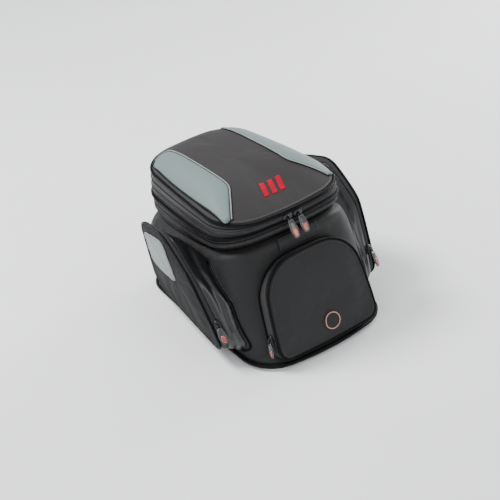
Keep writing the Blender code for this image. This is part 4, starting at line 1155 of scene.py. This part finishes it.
def in_pocket(flat, out):
    """(across, up) in the pocket's plane to points in space, raised by out."""
    flat = np.atleast_2d(flat)
    return (np.array(POCKET_FOOT) + flat[:, :1] * np.array([1, 0, 0]) + flat[:, 1:] * POCKET_UP
            + np.broadcast_to(out, len(flat))[:, None] * POCKET_OUT)


POCKET_OUTLINE = rounded_outline(POCKET_CORNERS, POCKET_BOWS, POCKET_RADII, (46, 44, 24, 44), 18)
POCKET_ZIP_DEPTH = 0.0065


def build_front_pocket():
    crown = 0.0022
    edge = inset_outline(POCKET_OUTLINE, PIPING_R + 0.0003)
    puff = lambda flat, share: in_pocket(flat, crown * (1 - share ** 2.5))
    flat_back = lambda flat, share: in_pocket(flat, -0.0038)
    face = disc("front_pocket_face", edge, puff, flat_back, 30, BODY_CLOTH, "front_pocket",
                dict(pressure=0.9, slack=0.004, cap=0.003, bending=0.8))
    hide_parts("front_pocket_panel")
    welt = cord("front_pocket_welt", in_pocket(POCKET_OUTLINE, -0.0012), PIPING_R, PIPE_CLOTH,
                "front_pocket")
    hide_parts("front_pocket_piping")
    tree = BVHTree.FromPolygons([v.co for v in face.data.vertices],
                                [tuple(p.vertices) for p in face.data.polygons])
    seam = inset_outline(POCKET_OUTLINE, 0.0058)
    found = [onto(tree, p, -POCKET_OUT, 0.0002) for p in in_pocket(seam, 0.03)]
    stitches("front_pocket_stitches", closed(np.array([f[0] for f in found])),
             closed(np.array([f[1] for f in found])), THREAD, "front_pocket")
    build_ring(tree)
    build_pocket_gusset()
    half = 0.036
    starts = [[(x, -0.2, z) for x in np.linspace(-half, half, 40)] for z in np.linspace(0.2225, 0.2430, 18)]
    patch = wall_patch("slider_patch", starts, (0, 1, -0.8), 0.0011, DARK_BAND, 1)
    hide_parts("front_patch")


def build_ring(tree):
    """Round embroidered ring on a dark patch, low on the pocket's face."""
    turns = np.linspace(0, 2 * math.pi, 72, endpoint=False)
    circle = np.column_stack([np.cos(turns), np.sin(turns)])
    place = np.array(RING_PLACE)
    drop = lambda flat, rise: np.array([onto(tree, p, -POCKET_OUT, rise)[0] for p in in_pocket(flat, 0.03)])
    puff = lambda flat, share: drop(flat, 0.0007 * (1 - share ** 6) + 0.0002)
    disc("ring_patch", place + circle * 0.0165, puff, lambda flat, share: drop(flat, 0.0001), 8,
         BODY_CLOTH, "front_pocket")
    ring = cord("ring_embroidery", drop(place + circle * RING_RADIUS, 0.0011), 0.0008, COPPER_THREAD,
                "front_pocket")
    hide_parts("front_pocket_ring")


def build_pocket_gusset():
    """Fixed side of the pocket, from the zip to the wall, and the zip itself."""
    shares = np.linspace(0, 1, 9)
    front = in_pocket(POCKET_OUTLINE, -POCKET_ZIP_DEPTH - 0.0008)
    foot = np.array([onto(WALL_TREE, p, -POCKET_OUT, 0.0008)[0] for p in front])
    rows = [front * (1 - s) + foot * s for s in shares]
    grid = np.array(rows)[::-1]
    outward = grid_normals(grid, True)
    grid = grid + outward * (0.0005 * np.sin(np.pi * shares))[:, None, None]
    gusset = slab("pocket_gusset_cloth", grid, 0.0012, BAND_CLOTH, "bag")
    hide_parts("front_pocket_gusset")
    sides = np.column_stack([flat_normals(POCKET_OUTLINE), np.zeros(len(POCKET_OUTLINE))])
    in_space = sides[:, :1] * np.array([1, 0, 0]) + sides[:, 1:2] * POCKET_UP
    run = POCKET_OUTLINE[:, 1] > 0.020
    start = int(np.flatnonzero(run & ~np.roll(run, 1))[0])
    order = np.r_[start:len(run), 0:start][:int(run.sum())]
    line = in_pocket(POCKET_OUTLINE, -0.0054)[order]
    zip_teeth("front_pocket_teeth_panel", line, in_space[order], COIL, "front_pocket", 1, reach=0.0020)
    zip_teeth("front_pocket_teeth_wall", line, in_space[order], COIL, "bag", -1, reach=0.0020)
    welt = np.array([onto(WALL_TREE, p + n * 0.0016, -POCKET_OUT, 0.0009)[0] for p, n in
                     zip(front[order], in_space[order])])
    cord("front_pocket_seam", welt, 0.0013, PIPE_CLOTH, "bag", cyclic=False)


# ------------------------------------------------------------------ side pockets
def side_plane(flat, out=0.0):
    """(y, z) to points on the right pocket's outer plane, moved out by a distance along X."""
    flat = np.atleast_2d(flat)
    x = SIDE_X + SIDE_RISE * flat[:, 1] - SIDE_TAPER * flat[:, 0] + out
    return np.column_stack([x, flat])


def side_outline(corners, radii, edge_steps=28, corner_steps=12):
    ordered = list(reversed(corners))
    count = len(ordered)
    return rounded_outline(ordered, (SIDE_BOW,) * count, list(reversed(radii)), (edge_steps,) * count,
                           corner_steps)


SIDE_OUTLINE = side_outline(SIDE_CORNERS, SIDE_RADII)
FOOT_OUTLINE = side_outline(FOOT_CORNERS, FOOT_RADII)
CHAIN_IN = 0.009             # distance of the side zip's chain from the panel's edge


def flipped(points, side):
    return points * np.array([side, 1, 1])


def side_grid():
    """Right gusset: rows from the panel's edge to the wall, columns round the pocket."""
    edge = side_plane(SIDE_OUTLINE, -0.0045)
    foot, _ = wall_line([(0.3, y, z) for y, z in FOOT_OUTLINE], (-1, 0, 0), 0.0006)
    shares = np.linspace(0, 1, 26)
    return np.array([edge * (1 - s) + foot * s for s in shares]), edge, foot


def build_side_pockets():
    grid, edge, foot = side_grid()
    span = np.linalg.norm(foot - edge, axis=1)
    chain = np.minimum(CHAIN_IN / span, 0.42)
    outward = grid_normals(grid, True)
    if np.sum(outward[12] * (grid[12] - grid[12].mean(axis=0))) < 0:
        outward = -outward
    line = edge * (1 - chain)[:, None] + foot * chain[:, None]
    line_out = outward[6]
    shares = np.linspace(0, 1, 6)
    tape_end = np.maximum(chain - TEETH_HALF / span, 0.05)
    under = side_plane(inset_outline(SIDE_OUTLINE, 0.0024), -0.0022)
    tape = np.array([under] + [edge + (foot - edge) * (tape_end * s)[:, None] for s in shares])
    inner_start = chain + TEETH_HALF / span
    rest = np.array([edge + (foot - edge) * (inner_start + (1 - inner_start) * s)[:, None]
                     for s in np.linspace(0, 1, 22)])
    rest_out = grid_normals(rest, True)
    if np.sum(rest_out[10] * outward[12]) < 0:
        rest_out = -rest_out
    depth = np.sin(np.pi * np.linspace(0, 1, 22) ** 1.3)[:, None]
    drift = noise_at(rest, 13.0, 2.0)
    folds = np.sin(np.linspace(0, 11.0, 22)[:, None] + 2.5 * drift) * 0.0011 * depth
    folds = folds + drift * 0.0020 * depth
    rest = rest + rest_out * folds[..., None]
    for side, word in ((-1, "left"), (1, "right")):
        build_side_pocket(side, word, line, line_out, tape, rest)


def oriented(grid, side):
    """Mirrors a grid for the left side, keeping its faces outwards."""
    return flipped(grid, side) if side > 0 else flipped(grid, side)[:, ::-1]


def build_side_pocket(side, word, line, line_out, tape, rest):
    body = f"side_pocket_{word}"
    edge = inset_outline(SIDE_OUTLINE, PIPING_R + 0.0003)
    puff = lambda flat, share: flipped(side_plane(flat, 0.0020 * (1 - share ** 2.2)), side)
    # The side face takes the darker copy of the body weave, which is painted shade.
    panel = disc(f"side_pocket_face_{word}", edge, puff,
                 lambda flat, share: flipped(side_plane(flat, -0.0028), side), 22, SHADED_SIDE_CLOTH, body,
                 dict(pressure=side * -0.7, slack=0.004, cap=0.003, bending=0.8))
    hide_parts(f"side_pocket_panel_{word}")
    welt = cord(f"side_pocket_welt_{word}", flipped(side_plane(SIDE_OUTLINE, -0.001), side), PIPING_R,
                PIPE_CLOTH, body)
    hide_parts(f"side_pocket_piping_{word}")
    slab(f"side_zip_tape_{word}", oriented(tape, side), 0.0010, TAPE_CLOTH, body)
    gusset = slab(f"side_gusset_cloth_{word}", oriented(rest, side), 0.0008, GLOSSY, "bag")
    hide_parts(f"side_pocket_gusset_{word}")
    ring, ring_out = closed(flipped(line, side)), closed(flipped(line_out, side))
    zip_teeth(f"side_teeth_outer_{word}", ring, ring_out, COIL, body, side)
    zip_teeth(f"side_teeth_inner_{word}", ring, ring_out, COIL, "bag", -side)
    tree = piece_tree(panel)
    insert = side_outline(((-0.006, 0.108), (-0.004, 0.160), (0.010, 0.172), (0.080, 0.152),
                           (0.090, 0.098)), (0.010, 0.010, 0.015, 0.015, 0.015), 16, 6)
    inward = (-side, 0, 0)
    drop = lambda flat, rise: np.array([onto(tree, p, inward, rise)[0]
                                        for p in flipped(side_plane(flat, 0.03), side)])
    swell = lambda flat, share: drop(flat, 0.0012 + 0.0008 * (1 - share ** 3))
    patch = disc(f"side_insert_{word}", insert, swell, lambda flat, share: drop(flat, 0.0002), 12,
                 INSERT_CLOTH, body)
    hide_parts(f"side_pocket_insert_{word}")
    trim = inset_outline(insert, -0.0010)
    cord(f"side_insert_trim_{word}", drop(trim, 0.0009), 0.0010, LIGHT_PIPE, body)
    seam = inset_outline(SIDE_OUTLINE, 0.0055)
    found = [onto(tree, p, inward, 0.0002) for p in flipped(side_plane(seam, 0.03), side)]
    stitches(f"side_pocket_stitches_{word}", closed(np.array([f[0] for f in found])),
             closed(np.array([f[1] for f in found])), THREAD, body)
    ahead = FOOT_OUTLINE[(FOOT_OUTLINE[:, 0] < -0.034) & (FOOT_OUTLINE[:, 1] > 0.016)
                         & (FOOT_OUTLINE[:, 1] < 0.150)]
    ahead = ahead[np.argsort(ahead[:, 1])]
    points, normals = wall_line([(side * 0.3, y - 0.0065, z) for y, z in ahead], inward, 0.0014)
    welt = cord(f"seam_welt_{word}", points, 0.0015, PIPE_CLOTH, "bag", cyclic=False)
    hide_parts(f"front_seam_piping_{word}")
    beside, beside_out = wall_line([(side * 0.3, y - 0.0105, z) for y, z in ahead], inward, 0.0002)
    stitches(f"seam_stitches_{word}", beside, beside_out, THREAD, "bag")


# ------------------------------------------------------------------ sliders and pulls
PLATE_LENGTH, PLATE_WIDTH, PLATE_HEIGHT = 0.014, 0.010, 0.0026
ARCH_HALF, ARCH_TOP, HINGE_HEIGHT = 0.0034, 0.0066, 0.0038
PULL_BAR = 0.00075


class Place:
    """Local axes on the bag: x along the hinge, z away from the bag."""

    def __init__(self, origin, hinge, outward):
        self.origin = np.asarray(origin, float)
        self.x = np.asarray(hinge, float) / np.linalg.norm(hinge)
        y = np.cross(outward, self.x)
        self.y = y / np.linalg.norm(y)
        self.z = np.cross(self.x, self.y)

    def __call__(self, points):
        points = np.atleast_2d(points)
        return self.origin + points[:, :1] * self.x + points[:, 1:2] * self.y + points[:, 2:] * self.z


def raised_shape(name, place, outline, low, high, round_by, material, body):
    """Solid shape with a rounded upper edge on local axes."""
    def face(flat, share):
        edge = np.clip((share - 0.72) / 0.28, 0, 1)
        return place(np.column_stack([flat, np.full(len(flat), high - round_by * edge ** 2)]))
    back = lambda flat, share: place(np.column_stack([flat, np.full(len(flat), low)]))
    return disc(name, outline, face, back, 8, material, body)


def build_slider(name, foot, hinge, outward, along_hinge, flange=True):
    """Slider: shield-shaped plate, a flange under it and a wire arch. Returns the hinge point."""
    place = Place(foot, hinge, outward)
    half_long, half_wide = PLATE_LENGTH / 2, PLATE_WIDTH / 2
    corners = np.array(((-half_long, -half_wide * 0.62), (half_long, -half_wide),
                        (half_long, half_wide), (-half_long, half_wide * 0.62)))
    if not along_hinge:
        corners = np.column_stack([corners[:, 1], -corners[:, 0]])[::-1]
        corners = corners[::-1] if polygon_area(corners) < 0 else corners
    outline = rounded_outline([tuple(c) for c in corners], (0.0004,) * 4, (0.0022,) * 4, (6,) * 4, 6)
    plate = raised_shape(name + "_plate", place, outline, 0.0004, PLATE_HEIGHT, 0.0007, SLIDER_METAL,
                         name)
    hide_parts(name)
    if flange:
        raised_shape(name + "_flange", place, inset_outline(outline, -0.0004), 0.0, 0.0011, 0.0004,
                     SLIDER_METAL, name)
    turns = np.linspace(0, math.pi, 17)
    legs = np.column_stack([np.zeros(17), np.cos(turns) * (ARCH_HALF - 0.0009),
                            PLATE_HEIGHT + np.sin(turns) ** 0.7 * (ARCH_TOP - PLATE_HEIGHT - 0.0008)])
    legs = np.vstack([legs[:1] - (0, 0, 0.0008), legs, legs[-1:] - (0, 0, 0.0008)])
    cord(name + "_bridge", place(legs), 0.0008, SLIDER_METAL, name, cyclic=False)
    return place(np.array([[0, 0, HINGE_HEIGHT]]))[0]


def polygon_area(corners):
    x, y = np.asarray(corners).T
    return float(np.sum(x * np.roll(y, -1) - y * np.roll(x, -1))) / 2


def drop_outline(width, low, high, shoulder, tip):
    """Drop shape from low to high along y, widest at the shoulder."""
    corners = ((-width * 0.30, low), (width * 0.30, low), (width / 2, shoulder), (width * tip, high),
               (-width * tip, high), (-width / 2, shoulder))
    return rounded_outline(corners, (0.0001,) * 6, (0.0012, 0.0012, 0.006, 0.002, 0.002, 0.006),
                           (4, 10, 8, 4, 8, 10), 6)


def build_pull(name, hinge_point, hinge, hang, outward, length, width):
    """Metal drop tab with a raised rim, a clear face and a copper tip, hung on a wire eye."""
    facing = np.cross(hinge, hang)
    facing = facing / np.linalg.norm(facing) * math.copysign(1, facing.dot(outward))
    place = Place(hinge_point, np.cross(hang, facing), facing)
    neck = 0.0058
    outline = drop_outline(width, neck - 0.0012, length, length * 0.62, 0.28)
    body = raised_shape(name + "_body", place, outline, -0.0009, 0.0009, 0.0005, PULL_METAL, name)
    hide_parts(name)
    inner = inset_outline(outline, 0.0011)
    raised_shape(name + "_face", place, inner, 0.0008, 0.0014, 0.0004, PULL_CLEAR, name)
    tip = drop_outline(width * 0.76, length * 0.57, length - 0.0008, length * 0.72, 0.25)
    raised_shape(name + "_tip", place, tip, 0.0010, 0.0020, 0.0006, PULL_COPPER, name)
    rim = np.column_stack([outline, np.full(len(outline), 0.0003)])
    cord(name + "_rim", place(rim), 0.0009, PULL_METAL, name, around=8)
    eye = rounded_outline(((-0.0022, -0.0001), (0.0022, -0.0001), (0.0026, neck), (-0.0026, neck)),
                          (0.0001,) * 4, (0.0009,) * 4, (4,) * 4, 5)
    cord(name + "_eye", place(np.column_stack([eye, np.zeros(len(eye))])), PULL_BAR, SLIDER_METAL, name,
         around=8)


def build_main_sliders():
    half, bulge = RIM[2], RIM[4]
    radius = (half * half + bulge * bulge) / (2 * bulge)
    centre_y = RIM[0] - bulge + radius
    for word, x, length in (("left", -0.014, 0.031), ("right", 0.004, 0.029)):
        angle = math.asin(x / radius)
        outward = np.array([math.sin(angle), -math.cos(angle), 0])
        tangent = np.array([math.cos(angle), math.sin(angle), 0])
        foot = np.array([0, centre_y, MAIN_ZIP_LINE[1] - 0.002]) + outward * (radius + 0.0014)
        hinge = build_slider(f"main_slider_{word}", foot, tangent, outward, True)
        lean = math.radians(34)
        hang = outward * math.sin(lean) - np.array([0, 0, math.cos(lean)])
        build_pull(f"main_pull_{word}", hinge, tangent, hang, outward, length, 0.0115)


def build_pocket_slider():
    foot = in_pocket((POCKET_CORNERS[0][0] - 0.0010, 0.040), -POCKET_ZIP_DEPTH - 0.005)[0]
    foot = foot + np.array([-0.0012, 0, 0])
    outward = np.array([-1, 0, 0]) + POCKET_UP * 0.11
    axis = np.cross(POCKET_UP, outward)
    hinge = build_slider("front_pocket_slider", foot, axis, outward, False)
    build_pull("front_pocket_pull", hinge, axis, -POCKET_UP + outward * 0.10, outward, 0.026, 0.0095)


def build_side_slider(side, word):
    low, high = np.array(SIDE_CORNERS[0]), np.array(SIDE_CORNERS[1])
    path = (side_plane(high) - side_plane(low))[0]
    share = 0.42
    edge = side_plane(low + (high - low) * share, -0.0045)[0]
    y, z = np.array(FOOT_CORNERS[0]) * (1 - share) + np.array(FOOT_CORNERS[1]) * share
    foot = wall_line([(0.3, y, z)], (-1, 0, 0), 0.0012)[0][0]
    inward = (foot - edge) / np.linalg.norm(foot - edge)
    outward = np.cross(inward, path)
    outward = outward / np.linalg.norm(outward) * -math.copysign(1, outward[1])
    place = edge + inward * CHAIN_IN + outward * 0.0050
    flip = np.array([side, 1, 1])
    place, path, outward = flip * place, flip * path / np.linalg.norm(path), flip * outward
    axis = np.cross(path, outward)
    hinge = build_slider(f"side_pocket_slider_{word}", place, axis, outward, False)
    build_pull(f"side_pocket_pull_{word}", hinge, axis, -path + outward * 0.20, outward, 0.028, 0.0105)


def build_expansion_slider():
    points = lift(bag_loop(RIM), zip_split)
    right = points[(points[:, 0] > 0) & (points[:, 1] > 0) & (points[:, 1] < 0.09)]
    low, start = right[right[:, 1].argmin()], np.array(slider_foot("expansion_slider"))
    path = (low - start) / np.linalg.norm(low - start)
    outward = np.cross(path, (0, 0, 1))
    outward = outward / np.linalg.norm(outward) * math.copysign(1, outward[0])
    hinge = build_slider("expansion_slider", start + outward * 0.0012, path, outward, True, flange=False)
    hang = np.array([0, 0, -1.0]) + outward * 0.05
    build_pull("expansion_pull", hinge, path, hang - path * hang.dot(path), outward, 0.019, 0.0095)


def slider_foot(slider):
    """Foot point of a slider: on the zip line next to the slider's own box."""
    low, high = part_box(slider)
    middle = np.array((low + high) / 2)
    points = lift(bag_loop(RIM), zip_split)
    return points[np.linalg.norm(points - middle, axis=1).argmin()]


# ------------------------------------------------------------------ carry handle
def build_handle():
    half, drop, strap, axis_z, y = 0.052, 0.050, 0.020, 0.118, 0.1825
    outer = rounded_outline(((-half, -drop), (half, -drop), (half, 0.09), (-half, 0.09)), (0.0002,) * 4,
                            (0.022, 0.022, 0.003, 0.003), (30, 30, 4, 30), 20)
    sides = flat_normals(outer)
    open_run = outer[:, 1] < 0.006
    start = int(np.flatnonzero(open_run & ~np.roll(open_run, 1))[0])
    order = np.r_[start:len(outer), 0:start][:int(open_run.sum())]
    outer, sides = outer[order], sides[order]
    rows = []
    for share in np.linspace(0, 1, 11):
        flat = outer - sides * strap * share
        swell = 0.0012 * (1 - abs(2 * share - 1) ** 4)
        rows.append(np.column_stack([flat[:, 0], np.full(len(flat), y + 0.0012 + swell),
                                     axis_z + flat[:, 1]]))
    grid = np.array(rows)
    normals = np.zeros_like(grid)
    normals[..., 1] = 1
    strap_cloth = slab("handle_webbing", grid, 0.0042, WEBBING, "carry_handle", loop=False, normals=normals)
    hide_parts("carry_handle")
    for number, row in enumerate((1, 9)):
        stitches(f"handle_stitches_{number}", grid[row], normals[row], THREAD, "carry_handle")
    build_grip(y, axis_z - drop + strap / 2, half - strap - 0.004)
    for side, word in ((-1, "left"), (1, "right")):
        centre = side * (half - strap / 2)
        starts = [[(centre + a, 0.3, z) for a in np.linspace(0.0095, -0.0095, 14)]
                  for z in np.linspace(axis_z - 0.012, axis_z + 0.010, 14)]
        patch = wall_patch(f"handle_anchor_cloth_{word}", starts, (0, -1, 0), 0.0012, WEBBING, 1)
        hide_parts(f"handle_anchor_{word}")


def build_grip(y, z, half):
    """Soft sleeve round the handle's lower run."""
    xs = np.linspace(-half, half, 30)
    turns = np.linspace(0, 2 * math.pi, 24, endpoint=False)
    rings = []
    for x in xs:
        taper = 1 - 0.25 * (abs(x) / half) ** 8
        rings.append(np.column_stack([np.full(24, x), y + 0.0030 * taper * np.sin(turns),
                                      z + 0.0112 * taper * np.cos(turns)]))
    grid = np.array(rings)
    slab("handle_grip", grid, 0.0006, GLOSSY, "carry_handle")


build_base()
build_rim()
build_lid()
build_front_pocket()
build_side_pockets()
build_main_sliders()
build_pocket_slider()
for hand, hand_word in ((-1, "left"), (1, "right")):
    build_side_slider(hand, hand_word)
build_expansion_slider()
build_handle()
place_camera()
build_studio()
